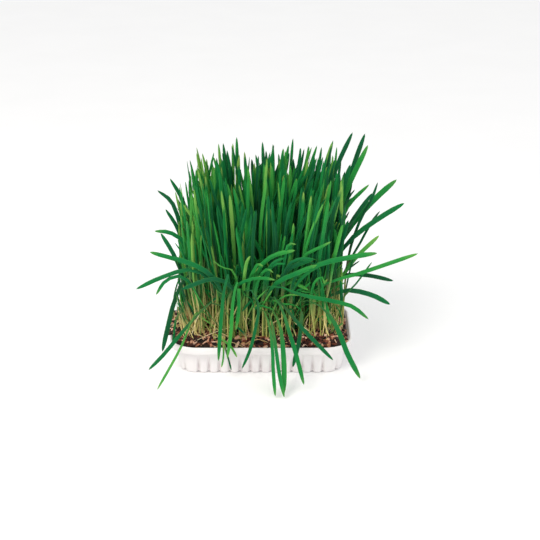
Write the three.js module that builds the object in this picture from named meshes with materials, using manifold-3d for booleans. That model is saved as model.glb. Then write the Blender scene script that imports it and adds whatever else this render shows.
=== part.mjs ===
// Wheatgrass growing in a low white tray.
// Millimetres, +Z up, origin on the floor under the middle of the tray, front edge towards -Y.
import * as THREE from "three";
import Module from "manifold-3d";

const wasm = await Module();
wasm.setup();

// Driving dimensions of the tray: a smooth band at the rim over a ribbed body.
const TRAY_WIDTH = 190;
const TRAY_DEPTH = 130;
const TRAY_HEIGHT = 31.5;
const RIM_CORNER = 30;
const RIM_WIDTH = 2.1;
const RIM_BEVEL = 0.6;
const BAND_HEIGHT = 7.9;
const BAND_LIP = 0.8;
const BODY_INSET = 8.2;
const BODY_DRAFT = 1.5;
const BODY_CORNER = 22.3;
const FOOT_ROUND = 1.4;

// Ribs along the straight sides; a groove is narrow, and deepest at the foot.
const FRONT_RIBS = 12;
const SIDE_RIBS = 6;
const GROOVE_DEPTH = 6;
const GROOVE_TOP = 20.5;
const GROOVE_HALF = 2.1;
const RIB_SHOULDER = 3.7;
const SHOULDER_DEPTH = 0.12;

// The hollow of the tray, as insets from the rim's outer edge, and the gap round the soil.
const FLOOR = 1.4;
const FLOOR_INSET = 16.6;
const WALL_INSET = 9.6;
const LEDGE_INSET = 5;
const LEDGE_TOP = 26.4;
const GAP = 0.3;

// Driving dimensions of the soil and of the strips of roots, one under each sown row.
const SOIL_EDGE = 28.6;
const SOIL_MOUND = 2.2;
const SOIL_CELL = 10.2;
const SOIL_CELLS = [20, 13];
const BARK_CHIPS = 18;
const FRONT_CHIPS = 12;
const ROWS = 7;
const ROW_PITCH = 16.5;
const ROW_END = 84.5;
const OUTER_ROW_END = 76.5;
const STRIP_WIDTH = 4;
const STRIP_BOTTOM = 25.2;
const STRIP_SUNK = 1.1;
const STRIP_STEPS = 9;

// Driving dimensions of the grass.
const ROOT_Z = 26;
const SOIL_Z = 30;
const STAND_HEIGHT = 182;
const LEAF_WIDTH = 4.7;
const SHEATH_WIDTH = 2;
const SHEATH_THICK = 1.6;
const LEAF_THICK = 1.1;
const FAN_REACH = 13;
const FAN_SHIFT = 3;
const CLUMPING = 2.4;
const LANES = 3;
const LANE_WIDTH = 4.3;
const LANE_MARGIN = 0.35;
const LANE_LEAVES = 13;
const INNER_ROWS = [2, 3, 4, 5];

// Shares of a leaf's length: where it opens from the sheath, tapers and has its last full section.
const OPENS_FROM = 0.12;
const OPEN_AT = 0.42;
const TAPERS_FROM = 0.6;
const LAST_SECTION = 0.88;

const BODY_WIDTH = TRAY_WIDTH - 2 * BODY_INSET;
const BODY_DEPTH = TRAY_DEPTH - 2 * BODY_INSET;
const BAND_BOTTOM = TRAY_HEIGHT - BAND_HEIGHT;

// Repeatable draws between 0 and 1.
function draws(seed) {
  let state = seed >>> 0;
  return () => {
    state = (Math.imul(state, 1664525) + 1013904223) >>> 0;
    return (state >>> 8) / 16777216;
  };
}

const lerp = (a, b, t) => a + (b - a) * t;
const clamp = (a, low, high) => Math.min(high, Math.max(low, a));

// Solids are lofted through level rings of equally many points, closed with flat caps.
function capOf(ring, start, up) {
  const flat = ring.map(([x, y]) => new THREE.Vector2(x, y));
  return THREE.ShapeUtils.triangulateShape(flat, []).map(([a, b, c]) => {
    const [p, q, r] = [flat[a], flat[b], flat[c]];
    const turn = (q.x - p.x) * (r.y - p.y) - (q.y - p.y) * (r.x - p.x);
    return (turn > 0) === up ? [start + a, start + b, start + c] : [start + a, start + c, start + b];
  });
}

function solid(points, faces) {
  const made = (triangles) => new wasm.Manifold(new wasm.Mesh({
    numProp: 3,
    vertProperties: new Float32Array(points.flat()),
    triVerts: new Uint32Array(triangles.flat()),
  }));
  const first = made(faces);
  return first.volume() > 0 ? first : made(faces.map(([a, b, c]) => [a, c, b]));
}

// The skin between rings of equally many points.
function skinOf(rings) {
  const count = rings[0].length;
  const faces = [];
  for (let k = 0; k + 1 < rings.length; k++) {
    for (let i = 0; i < count; i++) {
      const j = (i + 1) % count;
      const [a, b, c, d] = [k * count + i, k * count + j, (k + 1) * count + i, (k + 1) * count + j];
      faces.push([a, b, d], [a, d, c]);
    }
  }
  return faces;
}

function loft(rings) {
  const last = rings.length - 1;
  const caps = [...capOf(rings[0], 0, false), ...capOf(rings[last], last * rings[0].length, true)];
  return solid(rings.flat(), [...skinOf(rings), ...caps]);
}

// A rounded rectangle at one height, counterclockwise.
function plainRing(halfWidth, halfDepth, corner, z, steps = 8) {
  const ring = [];
  const centres = [[1, -1], [1, 1], [-1, 1], [-1, -1]];
  centres.forEach(([sx, sy], quarter) => {
    for (let i = 0; i <= steps; i++) {
      const angle = (quarter - 1 + i / steps) * Math.PI / 2;
      ring.push([
        sx * (halfWidth - corner) + corner * Math.cos(angle),
        sy * (halfDepth - corner) + corner * Math.sin(angle),
        z,
      ]);
    }
  });
  return ring;
}

// The same outline seen from the rim: an inset of the rim's outer edge.
function insetRing(inset, z, steps = 8) {
  return plainRing(TRAY_WIDTH / 2 - inset, TRAY_DEPTH / 2 - inset, RIM_CORNER - inset, z, steps);
}

// Points round the ribbed body: place, outward direction and how far each lies in a groove.
function ribbedOutline() {
  const halfX = BODY_WIDTH / 2 - BODY_CORNER;
  const halfY = BODY_DEPTH / 2 - BODY_CORNER;
  const outline = [];
  const straight = (x, y, dx, dy, length, ribs) => {
    const pitch = length / ribs;
    for (let i = 0; i <= ribs; i++) {
      const marks = [[0, 1], [GROOVE_HALF, SHOULDER_DEPTH], [RIB_SHOULDER, 0],
        [pitch - RIB_SHOULDER, 0], [pitch - GROOVE_HALF, SHOULDER_DEPTH]];
      for (const [along, depth] of i < ribs ? marks : marks.slice(0, 1)) {
        const t = i * pitch + along;
        outline.push({ x: x + dx * t, y: y + dy * t, nx: dy, ny: -dx, depth });
      }
    }
  };
  // Each corner is two smooth feet with one groove between them.
  const corner = (cx, cy, start) => {
    const side = GROOVE_HALF / BODY_CORNER;
    const foot = RIB_SHOULDER / BODY_CORNER;
    const half = Math.PI / 4;
    for (const from of [0, half]) {
      const marks = [[side, SHOULDER_DEPTH], [foot, 0], [half * 0.4, 0], [half * 0.6, 0],
        [half - foot, 0], [half - side, SHOULDER_DEPTH]];
      if (from === 0) marks.push([half, 1]);
      for (const [turn, depth] of marks) {
        const angle = start + from + turn;
        const [nx, ny] = [Math.cos(angle), Math.sin(angle)];
        outline.push({ x: cx + BODY_CORNER * nx, y: cy + BODY_CORNER * ny, nx, ny, depth });
      }
    }
  };
  straight(-halfX, -BODY_DEPTH / 2, 1, 0, 2 * halfX, FRONT_RIBS);
  corner(halfX, -halfY, -Math.PI / 2);
  straight(BODY_WIDTH / 2, -halfY, 0, 1, 2 * halfY, SIDE_RIBS);
  corner(halfX, halfY, 0);
  straight(halfX, BODY_DEPTH / 2, -1, 0, 2 * halfX, FRONT_RIBS);
  corner(-halfX, halfY, Math.PI / 2);
  straight(-BODY_WIDTH / 2, halfY, 0, -1, 2 * halfY, SIDE_RIBS);
  corner(-halfX, -halfY, Math.PI);
  return outline;
}

function makeTray() {
  const outline = ribbedOutline();
  const ribbedRing = (z, inset) => outline.map(({ x, y, nx, ny, depth }) => {
    const draft = BODY_DRAFT * (1 - z / BAND_BOTTOM);
    const groove = depth * GROOVE_DEPTH * clamp(1 - z / GROOVE_TOP, 0, 1);
    const back = draft + groove + inset;
    return [x - nx * back, y - ny * back, z];
  });
  const body = loft([
    ribbedRing(0, FOOT_ROUND),
    ribbedRing(FOOT_ROUND, 0),
    ribbedRing(GROOVE_TOP, 0),
    ribbedRing(BAND_BOTTOM + BAND_LIP, 0),
  ]);
  const band = loft([
    insetRing(0.4 + BAND_LIP, BAND_BOTTOM),
    insetRing(0.4, BAND_BOTTOM + BAND_LIP),
    insetRing(0, TRAY_HEIGHT - RIM_BEVEL),
    insetRing(RIM_BEVEL, TRAY_HEIGHT),
  ]);
  const hollow = loft(hollowRings(0, TRAY_HEIGHT + 1));
  return wasm.Manifold.union(body, band).subtract(hollow);
}

// The inside of the tray, which widens to a ledge behind the band and then to the mouth. Shrunk
// by the gap it is also the outside of the soil.
function hollowRings(shrink, top, steps = 8) {
  const mouth = RIM_WIDTH + shrink;
  const lip = lerp(LEDGE_INSET + shrink, mouth, (SOIL_EDGE - LEDGE_TOP) / (TRAY_HEIGHT - LEDGE_TOP));
  const rings = [
    insetRing(FLOOR_INSET + shrink, FLOOR + shrink, steps),
    insetRing(WALL_INSET + shrink, BAND_BOTTOM + 1 + shrink, steps),
    insetRing(LEDGE_INSET + shrink, LEDGE_TOP + shrink, steps),
    insetRing(lip, SOIL_EDGE + shrink, steps),
  ];
  if (shrink) return [...rings, insetRing(lip, top, steps)];
  return [...rings, insetRing(mouth, TRAY_HEIGHT, steps), insetRing(mouth, top, steps)];
}

// Height of the soil, mounded in the middle and lumpy.
function soilHeight(x, y) {
  const edge = Math.max(Math.abs(x) / 90, Math.abs(y) / 60);
  const mound = SOIL_MOUND * (1 - edge ** 4);
  const lumps = Math.sin(x / 4.1 + 1.3 * Math.sin(y / 5)) * Math.cos(y / 3.7 + Math.sin(x / 6));
  const swell = Math.sin(x / 17 + 2) * Math.cos(y / 13);
  return SOIL_EDGE + clamp(mound, 0, SOIL_MOUND) + 0.55 * lumps + 0.45 * swell;
}

// Each sown row wanders a little; the strip of roots follows it.
const rowCentre = (row) => (row - (ROWS - 1) / 2) * ROW_PITCH;
const rowEnd = (row) => (row % (ROWS - 1) ? ROW_END : OUTER_ROW_END);
const rowPath = (row, x) => rowCentre(row) + 2.2 * Math.sin(x / 13 + row * 2.1);

function stripSolid(row, widen, bottom, top) {
  const end = rowEnd(row) + widen;
  const half = STRIP_WIDTH / 2 + widen;
  const sections = [];
  for (let i = 0; i <= STRIP_STEPS; i++) {
    const x = lerp(-end, end, i / STRIP_STEPS);
    const y = rowPath(row, x);
    const height = top(x, y);
    sections.push([[x, y - half, bottom], [x, y + half, bottom], [x, y + half, height],
      [x, y - half, height]]);
  }
  const last = 4 * STRIP_STEPS;
  const ends = [[0, 2, 1], [0, 3, 2], [last, last + 1, last + 2], [last, last + 2, last + 3]];
  return solid(sections.flat(), [...skinOf(sections), ...ends]);
}

// Bark lying on the soil, most of it along the front edge and the rest at the back and the ends.
function barkChips() {
  const next = draws(417);
  const chips = [];
  for (let i = 0; i < BARK_CHIPS; i++) {
    const front = i < FRONT_CHIPS;
    const atEnd = i % 7 === 6;
    const x = atEnd ? (i % 2 ? 1 : -1) * lerp(86.5, 88, next())
      : lerp(-84, 84, front ? (i + next()) / FRONT_CHIPS : next());
    const y = atEnd ? lerp(-40, 40, next()) : front ? lerp(-58.5, -56, next()) : lerp(55.5, 58, next());
    const [long, wide, rise] = [lerp(4, 8, next()), lerp(2.2, 3.6, next()), lerp(0.7, 1.5, next())];
    const turn = atEnd ? lerp(1.2, 1.9, next()) : lerp(-0.35, 0.35, next());
    const z = soilHeight(x, y);
    const ring = (scale, lift) => [[-1, -0.8], [0.7, -1], [1, 0.6], [-0.5, 1]].map(([u, w]) => {
      const [a, b] = [u * long / 2 * scale, w * wide / 2 * scale];
      return [x + a * Math.cos(turn) - b * Math.sin(turn), y + a * Math.sin(turn) + b * Math.cos(turn),
        z + lift];
    });
    chips.push(loft([ring(0.8, -1.6), ring(1, rise * 0.4), ring(0.72, rise)]));
  }
  return chips;
}

// The soil: a block with a lumpy top, trimmed to the tray's hollow, with a groove for each strip.
function makeSoil() {
  const [nx, ny] = SOIL_CELLS;
  const underside = FLOOR - 5;
  const points = [];
  const faces = [];
  const at = (i, j) => i * (ny + 1) + j;
  for (let i = 0; i <= nx; i++) {
    for (let j = 0; j <= ny; j++) {
      const [x, y] = [(i - nx / 2) * SOIL_CELL, (j - ny / 2) * SOIL_CELL];
      points.push([x, y, soilHeight(x, y)]);
    }
  }
  for (let i = 0; i < nx; i++) {
    for (let j = 0; j < ny; j++) {
      const [a, b, c, d] = [at(i, j), at(i + 1, j), at(i + 1, j + 1), at(i, j + 1)];
      faces.push(...((i + j) % 2 ? [[a, b, c], [a, c, d]] : [[a, b, d], [b, c, d]]));
    }
  }
  // The border runs down to a flat underside well below the tray's floor.
  const border = [];
  for (let i = 0; i < nx; i++) border.push(at(i, 0));
  for (let j = 0; j < ny; j++) border.push(at(nx, j));
  for (let i = nx; i > 0; i--) border.push(at(i, ny));
  for (let j = ny; j > 0; j--) border.push(at(0, j));
  const first = points.length;
  for (const index of border) points.push([points[index][0], points[index][1], underside]);
  const middle = points.length;
  points.push([0, 0, underside]);
  border.forEach((index, k) => {
    const after = (k + 1) % border.length;
    faces.push([index, first + k, first + after], [index, first + after, border[after]]);
    faces.push([middle, first + after, first + k]);
  });
  const block = solid(points, faces);
  const above = TRAY_HEIGHT + 4;
  const inside = loft(hollowRings(GAP, above, 5));
  let soil = wasm.Manifold.union([block, ...barkChips()]).intersect(inside);
  for (let row = 0; row < ROWS; row++) {
    soil = soil.subtract(stripSolid(row, GAP, STRIP_BOTTOM - GAP, () => above + 1));
  }
  return soil;
}

// Leaves are drawn in straight lanes; one smooth field then sways the whole stand, so that leaves
// of neighbouring lanes never meet. The outermost lanes also lean out.
function sway([x, v, z]) {
  const rise = clamp((z - SOIL_Z) / STAND_HEIGHT, 0, 1.2) ** 2;
  const bend = 7 * Math.sin(x / 38 + 0.6) + 4 * Math.sin(x / 19 + 2);
  const outer = Math.sign(v) * Math.max(0, Math.abs(v) - 42);
  return [x, v + (0.1 * v + 0.9 * outer + bend) * rise, z];
}

// How far a row's leaves may spread before the sway; the first and last rows are open outwards.
function laneLimits(row) {
  const half = ROW_PITCH / 2 - LANE_MARGIN;
  const low = row === 0 ? -Infinity : rowCentre(row) - half;
  const high = row === ROWS - 1 ? Infinity : rowCentre(row) + half;
  return [low, high];
}

// One leaf: three sided and keeled, narrow at the sheath, widest past the middle, with a short tip.
function leaf(path, { row, width, facing, twist = 0, sections }) {
  const curve = new THREE.CatmullRomCurve3(path.map((p) => new THREE.Vector3(...p)), false, "centripetal");
  const shares = [];
  for (let k = 0; k < sections; k++) shares.push((k / (sections - 1)) * LAST_SECTION);
  const line = [...shares, 1].map((share) => curve.getPointAt(share));
  const [low, high] = laneLimits(row);
  const place = (p) => sway([p.x, clamp(p.y, low, high), p.z]);
  const side = new THREE.Vector3(Math.cos(facing), Math.sin(facing), 0);
  const along = new THREE.Vector3();
  const rings = shares.map((share, k) => {
    along.subVectors(line[k + 1], line[Math.max(k - 1, 0)]).normalize();
    side.addScaledVector(along, -side.dot(along)).normalize();
    const open = clamp((share - OPENS_FROM) / (OPEN_AT - OPENS_FROM), 0, 1) ** 2;
    const taper = 1 - 0.35 * clamp((share - TAPERS_FROM) / (LAST_SECTION - TAPERS_FROM), 0, 1);
    const flat = side.clone().applyAxisAngle(along, twist * share);
    const keel = new THREE.Vector3().crossVectors(along, flat);
    flat.multiplyScalar(lerp(SHEATH_WIDTH, width, open) * taper);
    keel.multiplyScalar(lerp(SHEATH_THICK, LEAF_THICK, open));
    return [[-0.5, 0.35], [0.5, 0.35], [0, -0.65]].map(([u, w]) => (
      place(line[k].clone().addScaledVector(flat, u).addScaledVector(keel, w))
    ));
  });
  const last = 3 * (sections - 1);
  const ends = [[0, 2, 1]];
  for (let i = 0; i < 3; i++) ends.push([last + i, last + (i + 1) % 3, last + 3]);
  return solid([...rings.flat(), place(line[sections])], [...skinOf(rings), ...ends]);
}

// How high the stand reaches across its width: x and height.
const STAND_TOP = [[-84, 172], [-76, 192], [-66, 209], [-45, 219], [0, 220], [45, 224], [62, 218],
  [76, 206], [88, 182]];

function standTop(x) {
  const k = clamp(STAND_TOP.findIndex(([mark]) => x <= mark), 1, STAND_TOP.length - 1);
  const [[x0, z0], [x1, z1]] = [STAND_TOP[k - 1], STAND_TOP[k]];
  return lerp(z0, z1, (x - x0) / (x1 - x0));
}

// The stand parts near its middle: how far a leaf's tip lies out from its root.
function fanned(x) {
  return FAN_SHIFT + FAN_REACH * Math.sin(Math.PI * x / ROW_END);
}

// The upright leaves of one row, in three lanes that each lean in waves of their own.
function standing(row) {
  const next = draws(1000 + 77 * row);
  const spread = () => next() + next() + next() - 1.5;
  const count = LANES * LANE_LEAVES;
  const end = rowEnd(row) - 1.2;
  // The front rows are lower, so that tips show one above another all over the front.
  const [lowest, highest] = [lerp(0.5, 0.78, Math.min(1, row / 3)), lerp(0.86, 1, Math.min(1, row / 2))];
  const found = [];
  for (let i = 0; i < count; i++) {
    const lane = (i + row) % LANES;
    const laneV = rowCentre(row) + (lane - 0.66) * LANE_WIDTH;
    const even = lerp(Math.max(-end, -80), end, (i + 0.5 + 0.5 * (next() - 0.5)) / count);
    const x0 = clamp(even + CLUMPING * Math.sin(even / 4.2 + row * 1.7), -end, end);
    const phase = row * 1.9 + lane * 2.4;
    const lean = fanned(x0) + 5 * Math.sin(x0 / 27 + phase) + 4 * Math.sin(x0 / 12 + 2 * phase)
      + 3 * spread();
    const curl = 0.5 * spread();
    const tall = (standTop(x0) - SOIL_Z) * lerp(lowest, highest, Math.sqrt(next())) + SOIL_Z - ROOT_Z;
    const path = [0, 0.25, 0.5, 0.75, 1].map((share) => [
      x0 + lean * share ** 1.7 + 16 * curl * share ** 5,
      lerp(rowPath(row, x0), laneV, Math.min(1, 2.6 * share)),
      ROOT_Z + tall * (share - 0.05 * Math.abs(curl) * share ** 6),
    ]);
    found.push(leaf(path, {
      row,
      width: LEAF_WIDTH * lerp(0.85, 1.15, next()),
      facing: 0.75 * spread(),
      twist: 0.8 * spread(),
      sections: INNER_ROWS.includes(row) ? 3 : 4,
    }));
  }
  return found;
}

// Leaves that reach out at the sides, within their row's own lane: row, width, turn of the flat
// side in degrees and the line from root to tip as x and z.
const SIDE_LEAVES = [
  [1, 5.2, 25, [[50, 26], [61, 70], [86, 85], [113, 81], [134, 70]]],
  [2, 4.4, 20, [[55, 26], [64, 76], [86, 95], [110, 96], [138, 90]]],
  [2, 4.2, 15, [[70, 26], [77, 76], [93, 108], [122, 140]]],
  [3, 5.4, 15, [[60, 26], [68, 86], [93, 128], [120, 151], [148, 171]]],
  [3, 4.4, 25, [[69, 26], [75, 95], [90, 140], [115, 180]]],
  [4, 5.8, 10, [[64, 26], [74, 95], [95, 138], [118, 167], [141, 191]]],
  [4, 4.0, 25, [[72, 26], [78, 112], [90, 158], [113, 184]]],
  [5, 5.4, 20, [[60, 26], [73, 110], [88, 165], [112, 221]]],
  [5, 5.6, 10, [[66, 26], [77, 110], [86, 168], [94, 200]]],
  [6, 5.0, 15, [[68, 26], [83, 130], [97, 188], [110, 228]]],
  [6, 4.8, 10, [[48, 26], [61, 120], [78, 185], [97, 229]]],
  [3, 4.4, 20, [[-70, 26], [-76, 100], [-84, 150], [-92, 173], [-106, 184]]],
  [3, 4.0, 25, [[-75, 26], [-79, 108], [-86, 143], [-98, 164]]],
  [5, 4.2, 20, [[-62, 26], [-68, 110], [-83, 165], [-95, 187]]],
  [2, 4.4, 25, [[-66, 26], [-70, 95], [-80, 135], [-93, 144], [-109, 145]]],
  [1, 4.4, 20, [[-72, 26], [-78, 95], [-88, 125], [-101, 149]]],
  [1, 4.6, 25, [[-58, 26], [-62, 92], [-78, 116], [-113, 128]]],
];

// Leaves that bow out of the front row: width, turn of the flat side and the line from root to tip.
const FRONT_LEAVES = [
  [4.8, 20, [[25, -50, 26], [35, -49, 68], [65, -50, 96], [105, -48, 109], [160, -46, 130]]],
  [6.0, 15, [[25, -51, 26], [31, -56, 88], [56, -58, 120], [86, -56, 128], [118, -54, 133]]],
  [5.6, 10, [[-36, -50, 26], [-41, -56, 95], [-57, -58, 117], [-89, -54, 130]]],
  [5.0, 30, [[-38, -51, 26], [-43, -54, 92], [-68, -53, 115], [-97, -52, 107], [-127, -52, 92]]],
  [4.0, 40, [[-62, -49, 26], [-65, -54, 88], [-80, -54, 108], [-96, -52, 102], [-107, -50, 85]]],
  [5.2, 10, [[-20, -50, 26], [-25, -57, 90], [-45, -61, 108], [-80, -60, 96]]],
  [5.6, 50, [[-58, -48, 26], [-62, -51, 82], [-74, -52, 108], [-87, -52, 82], [-95, -52, 52],
    [-102, -52, 22]]],
  [4.6, 40, [[-30, -48, 26], [-34, -53, 66], [-48, -57, 80], [-73, -62, 57], [-100, -68, 25],
    [-115, -74, 11]]],
  [3.0, 60, [[-50, -48, 26], [-54, -54, 64], [-64, -63, 72], [-81, -82, 39], [-104, -105, 3]]],
  [4.4, 0, [[-28, -48, 26], [-30, -54, 88], [-33, -62, 113], [-37, -69, 94], [-40, -74, 64],
    [-43, -76, 22]]],
  [4.2, 10, [[-20, -48, 26], [-22, -54, 84], [-24, -61, 104], [-28, -70, 82], [-30, -73, 52],
    [-34, -75, 24]]],
  [5.0, -20, [[-14, -47, 26], [-18, -54, 84], [-12, -63, 98], [-2, -72, 84], [-5, -76, 58],
    [-11, -78, 34], [-19, -80, 15]]],
  [4.2, 10, [[-4, -48, 26], [-2, -56, 66], [2, -66, 76], [8, -80, 68], [12, -94, 46],
    [13, -106, 24], [15, -120, 2.5]]],
  [4.4, -15, [[3, -50, 26], [5, -60, 70], [10, -76, 72], [15, -92, 48], [19, -108, 22],
    [24, -122, 2.5]]],
  [6.0, 0, [[7, -46, 26], [7, -56, 72], [12, -66, 75], [20, -80, 62], [23, -92, 40],
    [24, -104, 19], [23, -117, 2.5]]],
  [5.0, 15, [[11, -48, 26], [11, -56, 82], [16, -65, 88], [24, -76, 73], [29, -86, 59],
    [36, -94, 37], [44, -104, 8]]],
  [4.8, -10, [[38, -48, 26], [41, -58, 68], [42, -67, 74], [40, -74, 48], [33, -78, 16]]],
  [4.6, 30, [[5, -47, 26], [8, -55, 84], [17, -63, 85], [43, -74, 57], [61, -80, 39],
    [74, -83, 26]]],
  [6.2, 35, [[30, -47, 26], [34, -54, 74], [46, -62, 84], [62, -68, 79], [73, -75, 68],
    [81, -80, 52], [88, -84, 34], [102, -82, 5]]],
  [5.0, 30, [[-3, -47, 26], [2, -56, 86], [12, -63, 101], [40, -66, 92], [78, -62, 82],
    [94, -58, 75], [111, -56, 60]]],
  [5.6, 25, [[2, -47, 26], [5, -54, 80], [17, -61, 103], [36, -63, 114], [57, -61, 123]]],
  [5.4, 20, [[14, -46, 26], [17, -54, 92], [26, -57, 114], [38, -58, 122], [54, -58, 128]]],
  [5.0, 15, [[-8, -46, 26], [-6, -54, 98], [2, -58, 122], [15, -60, 133], [35, -61, 139]]],
];

function reaching(row) {
  const openLane = rowCentre(row) - 1.5 * LANE_WIDTH;
  const leaves = SIDE_LEAVES.filter(([lane]) => lane === row).map(([, width, facing, line]) => (
    [width, facing, line.map(([x, z]) => [x, openLane, z])]
  ));
  if (row === 0) leaves.push(...FRONT_LEAVES);
  return leaves.map(([width, facing, line]) => {
    const [[rootX], ...rest] = line;
    const rooted = [[rootX, rowPath(row, rootX), ROOT_Z], ...rest];
    const turn = facing * Math.PI / 180;
    return leaf(rooted, { row, width, facing: turn, sections: Math.max(5, line.length) });
  });
}

// One row: its strip of roots, sunk in the soil's groove, with every leaf that stands on it.
function makeRow(row) {
  const top = (x, y) => soilHeight(x, y) - STRIP_SUNK;
  return wasm.Manifold.union([stripSolid(row, 0, STRIP_BOTTOM, top), ...standing(row), ...reaching(row)]);
}

function addMesh(group, name, shape, colour, roughness) {
  const { numProp, vertProperties, triVerts } = shape.getMesh();
  const positions = new Float32Array(vertProperties.length / numProp * 3);
  for (let i = 0; i < positions.length / 3; i++) {
    positions.set(vertProperties.subarray(i * numProp, i * numProp + 3), i * 3);
  }
  const indexed = new THREE.BufferGeometry();
  indexed.setAttribute("position", new THREE.BufferAttribute(positions, 3));
  indexed.setIndex(new THREE.BufferAttribute(new Uint32Array(triVerts), 1));
  const geometry = indexed.toNonIndexed();
  geometry.computeVertexNormals();
  const material = new THREE.MeshStandardMaterial({ color: colour, roughness, metalness: 0 });
  const mesh = new THREE.Mesh(geometry, material);
  mesh.name = name;
  group.add(mesh);
}

const group = new THREE.Group();
group.name = "wheatgrass_tray";
addMesh(group, "tray", makeTray(), 0xf1efee, 0.45);
addMesh(group, "soil", makeSoil(), 0x2e2119, 0.95);
const GREENS = [0x1f7f33, 0x23883a, 0x1c7a34, 0x2a8c3c, 0x207f37, 0x1b7531, 0x24853a];
for (let row = 0; row < ROWS; row++) {
  addMesh(group, `grass_row_${row + 1}`, makeRow(row), GREENS[row], 0.6);
}

export default group;
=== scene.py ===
"""Wheatgrass growing in a low white tray: the finished surfaces, laid over the plain solids.

Every length below is in millimetres in the part's own frame, front edge towards -Y, and becomes
metres where a mesh is made.
"""

import math

import bmesh
import bpy
import numpy as np
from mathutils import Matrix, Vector, noise


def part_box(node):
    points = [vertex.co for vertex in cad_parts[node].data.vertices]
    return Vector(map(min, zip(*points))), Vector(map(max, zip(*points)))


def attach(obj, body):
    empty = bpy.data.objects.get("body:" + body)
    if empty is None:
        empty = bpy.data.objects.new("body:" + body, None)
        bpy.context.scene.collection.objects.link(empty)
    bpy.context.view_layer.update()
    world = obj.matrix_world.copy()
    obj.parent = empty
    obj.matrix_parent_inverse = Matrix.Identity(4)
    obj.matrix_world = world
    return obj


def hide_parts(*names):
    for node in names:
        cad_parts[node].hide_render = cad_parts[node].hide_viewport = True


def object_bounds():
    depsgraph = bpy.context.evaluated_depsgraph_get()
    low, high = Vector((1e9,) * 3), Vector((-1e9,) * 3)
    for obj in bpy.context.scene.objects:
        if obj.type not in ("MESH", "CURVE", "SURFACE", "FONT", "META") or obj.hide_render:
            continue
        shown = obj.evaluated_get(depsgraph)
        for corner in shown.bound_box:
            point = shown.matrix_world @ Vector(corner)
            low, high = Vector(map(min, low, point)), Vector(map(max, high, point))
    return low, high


bl_info = {
    "name": "Wheatgrass Tray",
    "version": (1, 0, 0),
    "blender": (4, 5, 0),
    "location": "3D View > Sidebar > Wheatgrass",
    "description": "Models a tray of wheatgrass: ribbed tray, soil with bark, and seven rows of leaves",
    "category": "Object",
}

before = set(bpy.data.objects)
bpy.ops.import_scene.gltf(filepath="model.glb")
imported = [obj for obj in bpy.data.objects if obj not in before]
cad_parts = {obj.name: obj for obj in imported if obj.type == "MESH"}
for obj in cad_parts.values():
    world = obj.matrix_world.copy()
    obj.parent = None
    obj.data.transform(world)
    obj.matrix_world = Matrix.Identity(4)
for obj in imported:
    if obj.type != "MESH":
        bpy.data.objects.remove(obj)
CAD_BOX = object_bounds()
MM = 0.001

# The tray, from the rim's outer edge inwards and from the foot upwards.
TRAY_LOW, TRAY_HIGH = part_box("tray")
TRAY_WIDTH = (TRAY_HIGH.x - TRAY_LOW.x) / MM
TRAY_DEPTH = (TRAY_HIGH.y - TRAY_LOW.y) / MM
TRAY_HEIGHT = TRAY_HIGH.z / MM
RIM_CORNER = 30
RIM_WIDTH = 2.1
BODY_INSET = 8.2
BODY_DRAFT = 1.5
BODY_CORNER = 22.3
FOOT_ROUND = 1.4
GROOVE_TOP = 20.5
GROOVE_HALF = 2.1
RIB_SHOULDER = 3.7
SHOULDER_SHARE = 0.12
# Distances from a groove's middle, crowded where the wall turns.
GROOVE_STEPS = (0, 0.5, 1.0, 1.5, 2.1, 2.9, 3.8)
CORNER_GROOVE_TOP = 12
WALL_HEIGHTS = (1.4, 3, 5, 7.5, 10, 12.5, 15, 17.5, 19.5, 21.5)
FRONT_RIBS = 12
SIDE_RIBS = 6
FLOOR = 1.4
FLOOR_INSET = 16.6
WALL_INSET = 9.6
LEDGE_INSET = 5
LEDGE_TOP = 26.4
SOIL_GAP = 0.3
# How far below the rim the inner wall bends from the ledge.
WALL_DROP = 6.9

# The soil and the rows sown in it.
SOIL_EDGE = 28.6
SOIL_MOUND = 2.2
ROOT_MAT = 8.5
MAT_SLOPE = 0.2
SOIL_INSET = 4.1
BED_SPOKES, BED_RINGS = 320, 64
HEAP_HEIGHT, HEAP_FROM, HEAP_REACH = 5.5, 74, 62
# Length, width and height of the smallest and of the largest.
CHIP_SIZES = ((3, 1.6, 0.8), (7.5, 3.6, 1.9))
HUSK_SIZES = ((4.2, 1.7, 1.3), (6.4, 2.6, 2.0))
ROWS = 7
ROW_PITCH = 16.5
ROW_END = 84.5
OUTER_ROW_END = 76.5

# The grass: a pale round sheath that opens into a keeled blade with a short tip.
ROOT_Z = 26
SOIL_Z = 30
STAND_HEIGHT = 182
SHEATH_WIDTH = 1.75
SHEATH_THICK = 1.5
OPENS_FROM = 0.16
OPEN_AT = 0.62
TIP_FROM = 0.9
FAN_REACH = 13
FAN_SHIFT = 3
CLUMPING = 2.4
LANES = 3
LANE_WIDTH = 4.3
LANE_LEAVES = 13
# How much narrower and lighter leaves are at the left end (the lightness partly painted light from the
# left, partly the paler tone of thinner leaves), and how wide the front ones are drawn.
LEFT_CHANGE = 0.28
FRONT_WIDTH_SHARE = 0.88
# Rows whose stems are seen down to the soil, and those whose young shoots lean most.
OPEN_ROWS = 3
CROSSING_ROWS = 2
BLADE_STATIONS = (0, 0.08, 0.16, 0.24, 0.32, 0.4, 0.48, 0.56, 0.64, 0.72, 0.8, 0.87, 0.92, 0.96, 0.985)

# How high the stand reaches across its width: x and height.
STAND_TOP = ((-84, 172), (-76, 192), (-66, 209), (-45, 219), (0, 220), (45, 224), (62, 218),
             (76, 206), (88, 182))

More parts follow.
